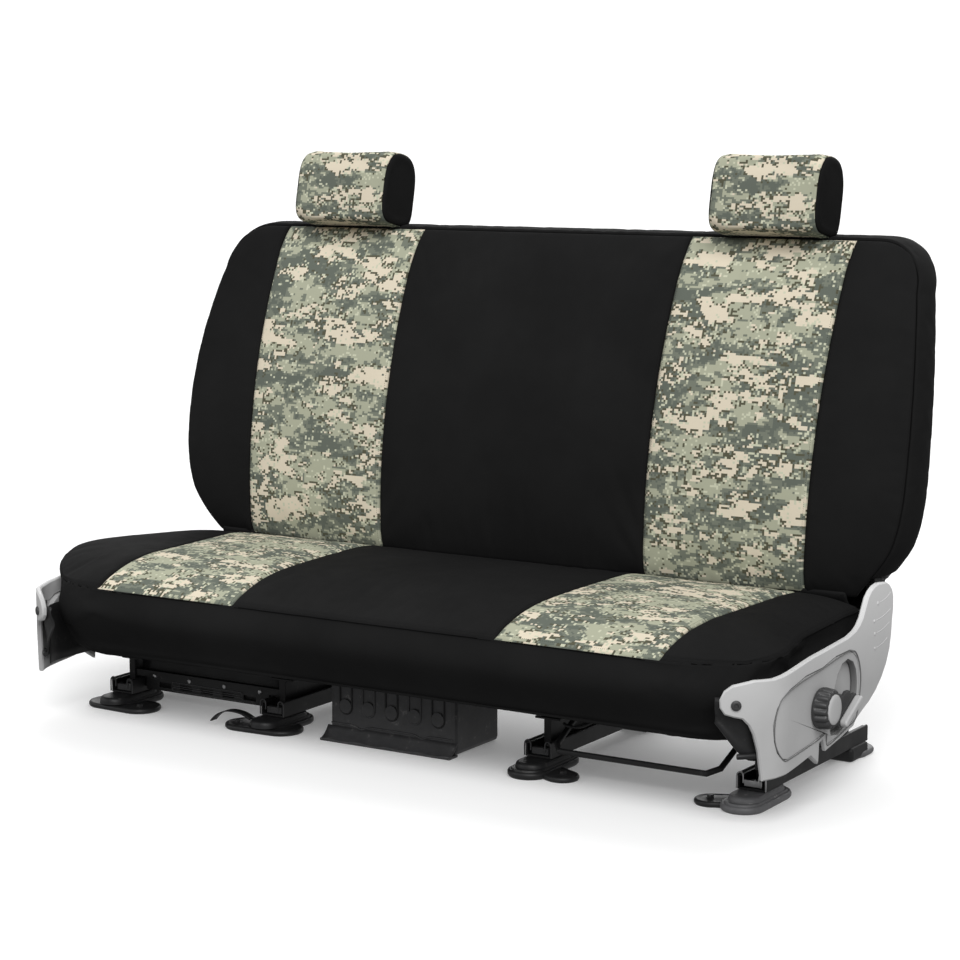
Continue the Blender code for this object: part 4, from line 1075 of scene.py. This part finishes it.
def make_shields():
    """The shields and bezels as smooth mouldings, lined inside with a dark board that stands in for the shade
    inside them: painted shade.
    """
    for side, name in ((1, "right"), (-1, "left")):
        for kind in ("side_shield", "control_bezel"):
            node = f"{kind}_{name}"
            work = bmesh.new()
            work.from_mesh(NODES[node].data)
            bmesh.ops.remove_doubles(work, verts=work.verts, dist=0.00001)
            for face in work.faces:
                face.smooth = True
            moulded = object_from(work, f"{kind}_shell_{name}")
            moulded.data.set_sharp_from_angle(angle=math.radians(28))
            soften(moulded, 0.0013, 2, 40)
            moulded.modifiers.new("even_shading", "WEIGHTED_NORMAL").keep_sharp = True
            dress(moulded, "grey_plastic", "seat_base", "bezel" if kind == "control_bezel" else None)
            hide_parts(node)
        # painted shade: a dark board inside each shield, where there is only shade
        rows = []
        for k in range(25):
            y = lerp(-0.345, -0.04, k / 24)
            low = lerp(0.096, 0.12, smooth(y, -0.16, -0.12))
            rows.append([on_shield(y + SHIFT_Y, lerp(low, 0.205, j / 6), SHADE_SHEET_OUT, side) for j in range(7)])
        board(f"shield_shade_sheet_{name}", rows, 0.0016, "black_steel", "seat_base")
        make_recess_wall(side, name)


RECESS = ((-0.082, 0.222), (-0.038, 0.218), (-0.02, 0.182), (-0.03, 0.134), (-0.06, 0.119), (-0.122, 0.111),
    (-0.124, 0.14), (-0.108, 0.19))


def make_recess_wall(side, name):
    """The wall round the recess that the lever turns in, painted a darker grey: painted shade in the recess."""
    outline = rounded([(0, y + SHIFT_Y, z) for y, z in RECESS], 5, cyclic=True)
    centre = sum(outline, Vector()) / len(outline)
    work = bmesh.new()
    rows = []
    for depth in (0.7576, 0.754, 0.75, 0.7466):
        inset = 0.985 - 0.02 * (0.7576 - depth) / 0.011
        ring = [centre + (point - centre) * inset for point in outline]
        rows.append([work.verts.new((side * depth, point.y, point.z)) for point in ring + ring[:1]])
    skin(work, rows)
    bmesh.ops.remove_doubles(work, verts=work.verts, dist=0.00001)
    wall = object_from(work, f"lever_recess_wall_{name}")
    thicken(wall, 0.0004)
    # painted shade: the recess wall takes the darker grey
    dress(wall, "grey_plastic", "seat_base", "recess")


def make_knob():
    """A dark rim with deep flutes, and a light dished face."""
    x = KNOB.x - 0.0105
    flutes = 16

    def fluted(angle, along):
        wave = 0.5 - 0.5 * math.cos(flutes * angle)
        return 1 - 0.12 * wave ** 2 * smooth(along, 0.0035, 0.0065)

    rim = turned_shape("lumbar_knob_rim", ((0.0, 0.032), (0.003, 0.0335), (0.0045, 0.034), (0.007, 0.034),
        (0.0215, 0.0322), (0.024, 0.0305), (0.0252, 0.0282), (0.0252, 0.0258), (0.024, 0.025)),
        (x, KNOB.y, KNOB.z), (1, 0, 0), flutes * 8, fluted)
    dress(rim, "dark_plastic", "lumbar_knob")
    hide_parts("lumbar_knob")
    face = turned_shape("lumbar_knob_face", ((0.023, 0.0246), (0.0262, 0.0243), (0.0274, 0.0228),
        (0.0282, 0.018), (0.0286, 0.012), (0.0288, 0.006), (0.0288, 0.001)), (x, KNOB.y, KNOB.z), (1, 0, 0),
        48)
    dress(face, "grey_plastic", "lumbar_knob", "light_face")


def make_lever(side):
    name = "right" if side > 0 else "left"
    body = f"recline_lever_{name}"
    place = (side * 0.748, LEVER.y, LEVER.z)
    hub = turned_shape(f"recline_hub_{name}", ((0.0, 0.015), (0.0, 0.0205), (0.012, 0.0205),
        (0.0155, 0.019), (0.0165, 0.016)), place, (side, 0, 0), 40)
    dress(hub, "dark_plastic", body)
    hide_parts(body)
    lean = math.atan2(0.041, 0.078)
    middle = Vector((0, -0.076 + SHIFT_Y, 0.1445))
    turn = Matrix.Translation(middle) @ Matrix.Rotation(lean, 4, "X")
    half, tall = 0.037, 0.0062

    ends = ((tall - half, 0.0), (half - tall, 0.0))
    bar = slab(f"recline_bar_{name}", stadium(*ends, tall, 8), 0.7665, 0.78, 0.003, "X")
    bar.data.transform(turn)
    foot = slab(f"recline_bar_foot_{name}", stadium(*ends, tall + 0.0035, 8), 0.76, 0.7668, 0.0016, "X")
    foot.data.transform(turn)
    pieces = [(bar, "light_face"), (foot, None)]
    for k in range(5):
        away = 0.0145 + 0.003 * k
        reach = 0.026 - 0.0036 * k
        rib = slab(f"recline_grip_{name}_{k}", oblong(-reach, reach * 0.9, away - 0.0009, away + 0.0009),
            0.76, 0.769 - 0.0006 * k, 0.0006, "X")
        rib.data.transform(turn)
        pieces.append((rib, None))
    plate_outline = [(-0.03, 0.008), (0.026, 0.008), (0.0225, 0.0245), (0.012, 0.03), (-0.014, 0.03),
        (-0.0245, 0.0235)]
    plate = slab(f"recline_grip_plate_{name}", plate_outline, 0.759, 0.7655, 0.0014, "X")
    plate.data.transform(turn)
    pieces.append((plate, None))
    for piece, look in pieces:
        if side < 0:
            mirror_x(piece)
        dress(piece, "dark_plastic", body, look)


def make_controls():
    make_knob()
    for side in (1, -1):
        make_lever(side)


def make_shield_trim():
    """Dark lines round the bezels, painted shade in their grooves; screws, brackets in the cut-outs, and the arm's
    grip lines.
    """
    for name, side in (("right", 1), ("left", -1)):
        path = rounded([(0, y + SHIFT_Y, z) for y, z in BEZEL], 5, cyclic=True)
        centre = Vector((0, -0.165 + SHIFT_Y, 0.165))
        rim = []
        for point in path:
            away = (point - centre).normalized() * 0.0016
            rim.append(on_shield(point.y + away.y, point.z + away.z, 0.0002, side))
        # painted shade: a thin dark wire just proud of the shield where the groove round the bezel lies
        wire(f"shield_groove_{name}", rim, 0.0009, "grey_plastic", "seat_base", cyclic=True, look="recess")
        y = -0.39 + SHIFT_Y
        out = (on_shield(y, 0.205, 0.01, side) - on_shield(y, 0.205, 0.0, side)).normalized()
        screw = turned_shape(f"shield_screw_head_{name}", ((0.0, 0.0082), (0.0022, 0.008), (0.0034, 0.0066),
            (0.0034, 0.0036), (0.0016, 0.003)), on_shield(y, 0.205, 0.0, side), out, 24)
        dress(screw, "dark_plastic", "seat_base")
        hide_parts(f"shield_screw_{name}")
        rows = []
        for k in range(13):
            y = lerp(-0.425, -0.33, k / 12) + SHIFT_Y
            low = lerp(0.188, 0.112, smooth(k / 12, -0.3, 0.75))
            rows.append([on_shield(y, lerp(low, 0.214, j / 6), -0.016 - 0.004 * math.sin(j), side)
                for j in range(7)])
        board(f"shield_bracket_{name}", rows, 0.003, "black_steel", "seat_base")
        shelf = [on_shield(lerp(-0.385, -0.34, k / 8) + SHIFT_Y, 0.121, -0.013, side) for k in range(9)]
        wire(f"shield_bracket_rib_{name}", shelf, 0.0045, "black_steel", "seat_base")
    for k, (y_low, y_high, z) in enumerate(((0.06, 0.108, 0.3), (0.047, 0.109, 0.272), (0.05, 0.105, 0.25),
            (0.052, 0.098, 0.225))):
        points = [(SHIELD_X - 0.0001, lerp(y_low, y_high, j / 6) + SHIFT_Y, z + 0.01 * (j / 6) ** 2)
            for j in range(7)]
        wire(f"shield_grip_line_{k}", points, 0.0006, "grey_plastic", "seat_base")
        dot = turned_shape(f"shield_grip_dot_{k}", ((0.0, 0.003), (0.0006, 0.0029), (0.0012, 0.002),
            (0.0014, 0.0004)), (SHIELD_X, y_low - 0.006 + SHIFT_Y, z), (1, 0, 0), 16)
        dress(dot, "grey_plastic", "seat_base")


# ---------------------------------------------------------------- tracks and underseat

TRACKS = {name[len("lower_rail_"):]: (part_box(name)[0].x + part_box(name)[1].x) / 2 for name in NODES
    if name.startswith("lower_rail_")}


def pad(name, a, b, profile, slot="black_steel", body="floor_tracks", look=None):
    """A stadium-shaped pressing between two plan points: profile is (height, radius), from its base up."""
    way = math.degrees(math.atan2(b[1] - a[1], b[0] - a[0]))
    work = bmesh.new()
    rings = []
    for z, radius in profile:
        rings.append([work.verts.new((x, y, z)) for x, y in stadium(a, b, radius, 14, way)])
    for low, high in zip(rings, rings[1:]):
        band(work, low, high)
    work.faces.new(rings[0])
    work.faces.new(rings[-1])
    bmesh.ops.recalc_face_normals(work, faces=work.faces)
    obj = object_from(work, name)
    obj.data.set_sharp_from_angle(angle=math.radians(60))
    return dress(obj, slot, body, look)


def make_rail_end(track, x):
    """Curled lips and beads on a lower rail, and the stop at its upper rail's front end."""
    look = "bright_steel" if track == "right_outer" else "worn_steel"
    for side, name in ((-1, "left"), (1, "right")):
        edge = x + side * 0.0195
        curl = ((0.0065, 0.026), (0.0065, 0.046), (0.004, 0.0515), (0.0, 0.0535), (-0.004, 0.0515),
            (-0.0055, 0.046), (-0.0055, 0.036))
        hook = [(edge + side * out, -0.1925, z) for out, z in curl]
        wire(f"rail_lip_{track}_{name}", rounded(hook, 3), 0.0013, "black_steel", "floor_tracks", look=look)
        bead = [(x + side * 0.0225, lerp(-0.19, 0.218, k / 12), 0.05) for k in range(13)]
        wire(f"rail_bead_{track}_{name}", bead, 0.0024, "black_steel", "floor_tracks")
    stop = slab(f"slide_stop_{track}", oblong(x - 0.0165, x + 0.0165, -0.186, -0.176), 0.028, 0.04, 0.0015)
    dress(stop, "black_steel", "seat_base", look)


FOOT_Y = -0.167
TOE = ((0.0, 0.027), (0.003, 0.029), (0.0065, 0.029), (0.009, 0.027), (0.0096, 0.024), (0.0086, 0.0215),
    (0.0092, 0.015), (0.0102, 0.006))
SOLE = ((0.0, 0.034), (0.0035, 0.0372), (0.008, 0.0376), (0.0115, 0.036), (0.0125, 0.0335), (0.012, 0.0315),
    (0.015, 0.03))
BLOCK = ((0.011, 0.029), (0.017, 0.0286), (0.0212, 0.0272), (0.0232, 0.0248), (0.0238, 0.021))
HEEL = ((0.0, 0.03), (0.0035, 0.0328), (0.0075, 0.033), (0.0105, 0.0305), (0.0115, 0.026), (0.0112, 0.018))


def make_floor_feet():
    """Rounded pressed feet: a low toe to one side, a sole along the track, and a block under the rail."""
    for track, x in TRACKS.items():
        low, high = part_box(f"front_foot_{track}")
        toe = 1 if high.x - x > x - low.x else -1
        light = "light_steel" if track == "right_outer" else None
        reach = 0.022 if "left" in track else 0.053
        sole = pad(f"foot_sole_{track}", (x, FOOT_Y - reach), (x, FOOT_Y + 0.04), SOLE, look=light)
        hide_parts(f"front_foot_{track}")
        if "left" in track:
            wide = tuple((z, radius + 0.01) for z, radius in TOE)
            pad(f"foot_toe_{track}", (x - toe * 0.026, FOOT_Y - 0.03), (x + toe * 0.052, FOOT_Y - 0.034),
                wide)
        else:
            pad(f"foot_toe_{track}", (x + toe * 0.012, FOOT_Y - 0.024), (x + toe * 0.06, FOOT_Y - 0.046), TOE)
        pad(f"foot_block_{track}", (x, FOOT_Y - 0.044), (x, FOOT_Y + 0.034), BLOCK, look=light)
        hex_bolt(f"foot_bolt_{track}", (x + toe * 0.062, FOOT_Y - 0.047, 0.0085), (0, 0, 1), 0.006,
            "black_steel", "floor_tracks")
        pad(f"rear_foot_lug_{track}", (x, 0.196), (x, 0.222), HEEL, look=light)
        hex_bolt(f"rear_bolt_{track}", (x, 0.2295, 0.0105), (0, 0, 1), 0.0065, "black_steel",
            "floor_tracks", "worn_steel")
        make_rail_end(track, x)
        hex_bolt(f"upright_bolt_{track}", (x, -0.1497, 0.112), (0, -1, 0), 0.0065, "black_steel",
            "seat_base", "worn_steel")


def make_shade_behind_brace():
    """A dark bent sheet, shaped as a front cross rail, between the left tracks behind the slotted brace: it stands
    in for the shade there, painted shade.
    """
    low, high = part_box("track_brace_left")
    bends = ((0.122, 0.018), (0.118, 0.01), (0.096, 0.009), (0.08, 0.014), (0.066, 0.012), (0.055, 0.006),
        (low.z + 0.004, 0.0055))
    rows = [[(lerp(low.x + 0.006, high.x - 0.006, k / 12), low.y + y, z) for k in range(13)] for z,
        y in bends]
    # painted shade: a dark sheet that fills the shade behind the brace
    board("front_cross_rail", rows, 0.002, "black_steel", "seat_base")


def make_riser_face():
    """U-shaped beads, a fold line and a flared apron on the centre riser's front."""
    low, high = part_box("center_riser")
    front = low.y + 0.026
    for k in range(5):
        x = lerp(low.x + 0.039, high.x - 0.039, k / 4)
        under = [(x + 0.0125 * math.cos(math.radians(a)), front - 0.0006,
            0.06 + 0.0125 * math.sin(math.radians(a))) for a in range(180, 361, 20)]
        loop = [(x - 0.0125, front - 0.0006, 0.1)] + under + [(x + 0.0125, front - 0.0006, 0.1)]
        wire(f"riser_emboss_{k}", loop, 0.0018, "black_steel", "floor_tracks",
            look="worn_steel" if k % 2 else None)
    fold = []
    for k in range(41):
        dip = 0.006 * (math.exp(-((k % 20 - 10) / 1.6) ** 2))
        fold.append((lerp(low.x + 0.008, high.x - 0.008, k / 40), front - 0.001, 0.029 - dip))
    wire("riser_fold_line", fold, 0.0016, "black_steel", "floor_tracks", look="worn_steel")
    rows = []
    for k in range(17):
        row = []
        for j in range(7):
            t = j / 6
            lift = 0.02 * (1 - t) ** 2 + 0.0042 + 0.0018 * math.sin(k * 1.7) * t
            row.append((lerp(low.x, high.x, k / 16), front - 0.001 - 0.026 * t, lift))
        rows.append(row)
    pressed_strip("riser_apron", rows, 0.0025, "floor_tracks", "worn_steel")
    NODES["center_riser"].data.materials.clear()
    NODES["center_riser"].data.materials.append(LOOKS["worn_steel"])


def make_brace_trim():
    """Rivets and slot rims on the brace between the left tracks."""
    for k in range(4):
        rivet = turned_shape(f"brace_rivet_{k}", ((0.0, 0.0042), (0.0014, 0.0038), (0.0022, 0.0024),
            (0.0024, 0.0005)), (lerp(-0.605, -0.357, k / 3), -0.158, 0.0565), (0, -1, 0), 16)
        dress(rivet, "black_steel", "seat_base", "bright_steel")
    for z in (0.037, 0.047):
        rim = [(x, -0.1583, y) for x, y in stadium((-0.56, z), (-0.4, z), 0.0032, 6)]
        wire(f"brace_slot_{round(z * 1000)}", rim, 0.0009, "black_steel", "seat_base", cyclic=True,
            look="worn_steel")


def make_rod_and_tab():
    """The latch rod on the release bar, and the stiff ribbon tab by the left inner foot."""
    rod = rounded([(0.368, -0.166, 0.114), (0.364, -0.172, 0.105), (0.354, -0.179, 0.095),
        (0.335, -0.184, 0.086), (0.312, -0.18, 0.083), (0.296, -0.17, 0.084)], 5)
    wire("latch_rod", rod, 0.0026, "black_steel", "slide_release_bar")
    path = rounded([(-0.345, -0.196, 0.016), (-0.362, -0.204, 0.027), (-0.384, -0.214, 0.031),
        (-0.402, -0.222, 0.024), (-0.412, -0.228, 0.012)], 5)
    rows = [[p + Vector((0, d, 0)) for d in (-0.009, 0.0, 0.009)] for p in path]
    pressed_strip("harness_tab", rows, 0.002, "floor_tracks")


COLLAR = ((0.0, 0.0135), (0.0016, 0.013), (0.0028, 0.011), (0.0034, 0.008))


def make_fold_parts():
    """A plate that closes the gap under the fold, the recliners' nuts and the headrest posts' collars."""
    wide, front, rear = 0.672, SEAT_REAR - 0.001, PIVOT_Y + 0.027
    plate = slab("fold_gap_plate", oblong(-wide, wide, front, rear), 0.2345, 0.2365, 0.0006)
    dress(plate, "black_steel", "seat_base")
    for name, side in (("right", 1), ("left", -1)):
        hex_bolt(f"recliner_nut_{name}", (side * 0.713, PIVOT_Y, PIVOT_Z), (side, 0, 0), 0.0085,
            "black_steel", "seat_base", "worn_steel")
    for side in ("right", "left"):
        low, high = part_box(f"headrest_post_{side}")
        middle = (low.x + high.x) / 2
        z = BACK_TOP + 0.0025
        y = high.y - (high.z - z) * math.tan(LEAN) - 0.0065
        for leg, x in (("left", middle - 0.055), ("right", middle + 0.055)):
            collar = turned_shape(f"post_collar_{side}_{leg}", COLLAR, (x, y, z - 0.001),
                (0, math.sin(LEAN), math.cos(LEAN)), 24)
            dress(collar, "dark_plastic", "backrest")


def make_straps():
    """Webbing that draws the cushion cover's front and rear hems together under the pan."""
    pan_low, pan_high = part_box("seat_pan")
    for k, x in enumerate((-0.485, -0.05, 0.455)):
        outline = oblong(x - 0.0125, x + 0.0125, pan_low.y + 0.002, pan_high.y - 0.004)
        strap = slab(f"hem_strap_{k}", outline, pan_low.z - 0.0024, pan_low.z - 0.0006, 0.0005)
        dress(strap, "black_neoprene", "seat_base", "webbing")
        y = -0.02
        buckle = slab(f"hem_strap_buckle_{k}", [(x - 0.018, y - 0.024), (x + 0.018, y - 0.024),
            (x + 0.02, y), (x + 0.018, y + 0.026), (x - 0.018, y + 0.026), (x - 0.02, y)],
            pan_low.z - 0.0085, pan_low.z - 0.0022, 0.0018)
        dress(buckle, "dark_plastic", "seat_base")


# ---------------------------------------------------------------- stage

def make_stage():
    """A pale round floor that curves up into a wall far out on every side."""
    flat, curve, top = 6.0, 2.6, 9.0
    profile = [(0.01, 0.0), (2.0, 0.0), (flat, 0.0)]
    profile += [(flat + curve * math.sin(a), curve - curve * math.cos(a))
        for a in (math.radians(d) for d in range(6, 91, 6))]
    profile.append((flat + curve, top))
    work = bmesh.new()
    rows = []
    for k in range(73):
        angle = math.radians(5 * k)
        rows.append([work.verts.new((r * math.cos(angle), r * math.sin(angle), z)) for r, z in profile])
    for a, b in zip(rows, rows[1:]):
        for j in range(len(profile) - 1):
            work.faces.new((a[j], a[j + 1], b[j + 1], b[j])).smooth = True
    bmesh.ops.remove_doubles(work, verts=work.verts, dist=0.0001)
    work.faces.new([v for v in sorted((v for v in work.verts if v.co.length < 0.02),
        key=lambda v: math.atan2(v.co.y, v.co.x))])
    floor = object_from(work, "studio_sweep")
    floor.data.materials.append(studio_floor())
    floor.visible_diffuse = False
    floor.visible_glossy = False
    floor.visible_shadow = False


def soft_sun(name, towards, strength, angle):
    """A broad even light from the direction towards."""
    data = bpy.data.lights.new(name, "SUN")
    data.energy = strength
    data.angle = math.radians(angle)
    lamp = bpy.data.objects.new(name, data)
    bpy.context.scene.collection.objects.link(lamp)
    lamp.location = Vector(towards) * 4
    lamp.rotation_euler = Vector(towards).to_track_quat("Z", "Y").to_euler()


WORLD_STRENGTH = 0.31
SUNS = (("key", (0.6, -0.74, 0.86), 2.55, 48), ("fill", (-0.85, -0.5, 0.7), 0.6, 60),
        ("rear", (-0.3, 0.8, 0.65), 1.5, 60))


def make_light():
    world = bpy.data.worlds.new("studio")
    bpy.context.scene.world = world
    world.use_nodes = True
    background = world.node_tree.nodes["Background"]
    background.inputs["Color"].default_value = (1.0, 1.0, 1.0, 1.0)
    background.inputs["Strength"].default_value = WORLD_STRENGTH
    for name, towards, strength, angle in SUNS:
        soft_sun(name, towards, strength, angle)
    bpy.context.scene.view_settings.view_transform = "Standard"


LENS_MM, SENSOR_MM = 92.96, 36.0
CAMERA_AT, CAMERA_AIM = (2.354, -3.717, 1.084), (0.0, 0.034, 0.4537)


def make_camera():
    data = bpy.data.cameras.new("camera")
    data.lens = LENS_MM
    data.sensor_width = SENSOR_MM
    camera = bpy.data.objects.new("camera", data)
    bpy.context.scene.collection.objects.link(camera)
    camera.location = CAMERA_AT
    aim = Vector(CAMERA_AIM) - camera.location
    camera.rotation_euler = aim.to_track_quat("-Z", "Y").to_euler()
    bpy.context.scene.camera = camera


# ---------------------------------------------------------------- assembly

make_camera()
make_light()
make_stage()

for part in frame["record"]["subparts"]:
    shown = NODES[part["node"]]
    if part["material_slot"] in LOOKS:
        shown.data.materials.clear()
        shown.data.materials.append(LOOKS[part["material_slot"]])


def cover_slot(name):
    return "camo_fabric" if name.endswith(("insert", "wrap")) else "black_neoprene"


def dress_cover(cover, prefix, body, foam, stitching):
    """Dresses the cut panels of the cushion's or the backrest's cover."""
    for name, piece in cover.items():
        thicken(piece, CLOTH, -1.0)
        dress(piece, cover_slot(name), body)
        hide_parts(f"{prefix}_{name}", *([foam] if name == "center" else []))
    dress(stitching, "black_neoprene", body, "thread")


threads, panels = make_back_cover()
dress_cover(panels, "back_cover", "backrest", "back_foam", threads)
threads, panels = make_seat_cover()
dress_cover(panels, "seat_cover", "seat_base", "cushion_foam", threads)

threads, covers, headrest_middle = make_headrest_covers()
for piece in covers.values():
    thicken(piece, CLOTH, -1.0)
covers["stitching"] = threads
second = {}
for name, piece in covers.items():
    twin = piece.copy()
    twin.data = piece.data.copy()
    twin.data.transform(Matrix.Translation((-2 * headrest_middle.x, 0, 0)))
    bpy.context.scene.collection.objects.link(twin)
    second[name] = twin
for side, cover in (("right", covers), ("left", second)):
    for name, piece in cover.items():
        piece.name = f"headrest_{side}_{name}"
        if name == "stitching":
            dress(piece, "black_neoprene", f"headrest_{side}", "thread")
            continue
        old = [f"headrest_wrap_{side}", f"headrest_foam_{side}"]
        if name != "wrap":
            old = [f"headrest_side_cap_{side}_{name.split('_')[0]}"]
        dress(piece, cover_slot(name), f"headrest_{side}")
        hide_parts(*old)

make_shields()
make_controls()
make_shield_trim()
make_floor_feet()
make_shade_behind_brace()
make_riser_face()
make_brace_trim()
make_rod_and_tab()
make_fold_parts()
make_straps()

for name, shown in NODES.items():
    if name.startswith(("lower_rail", "upper_rail", "center_riser", "track_brace", "seat_pan",
            "slide_release")):
        soften(shown, 0.0012, weld=True)
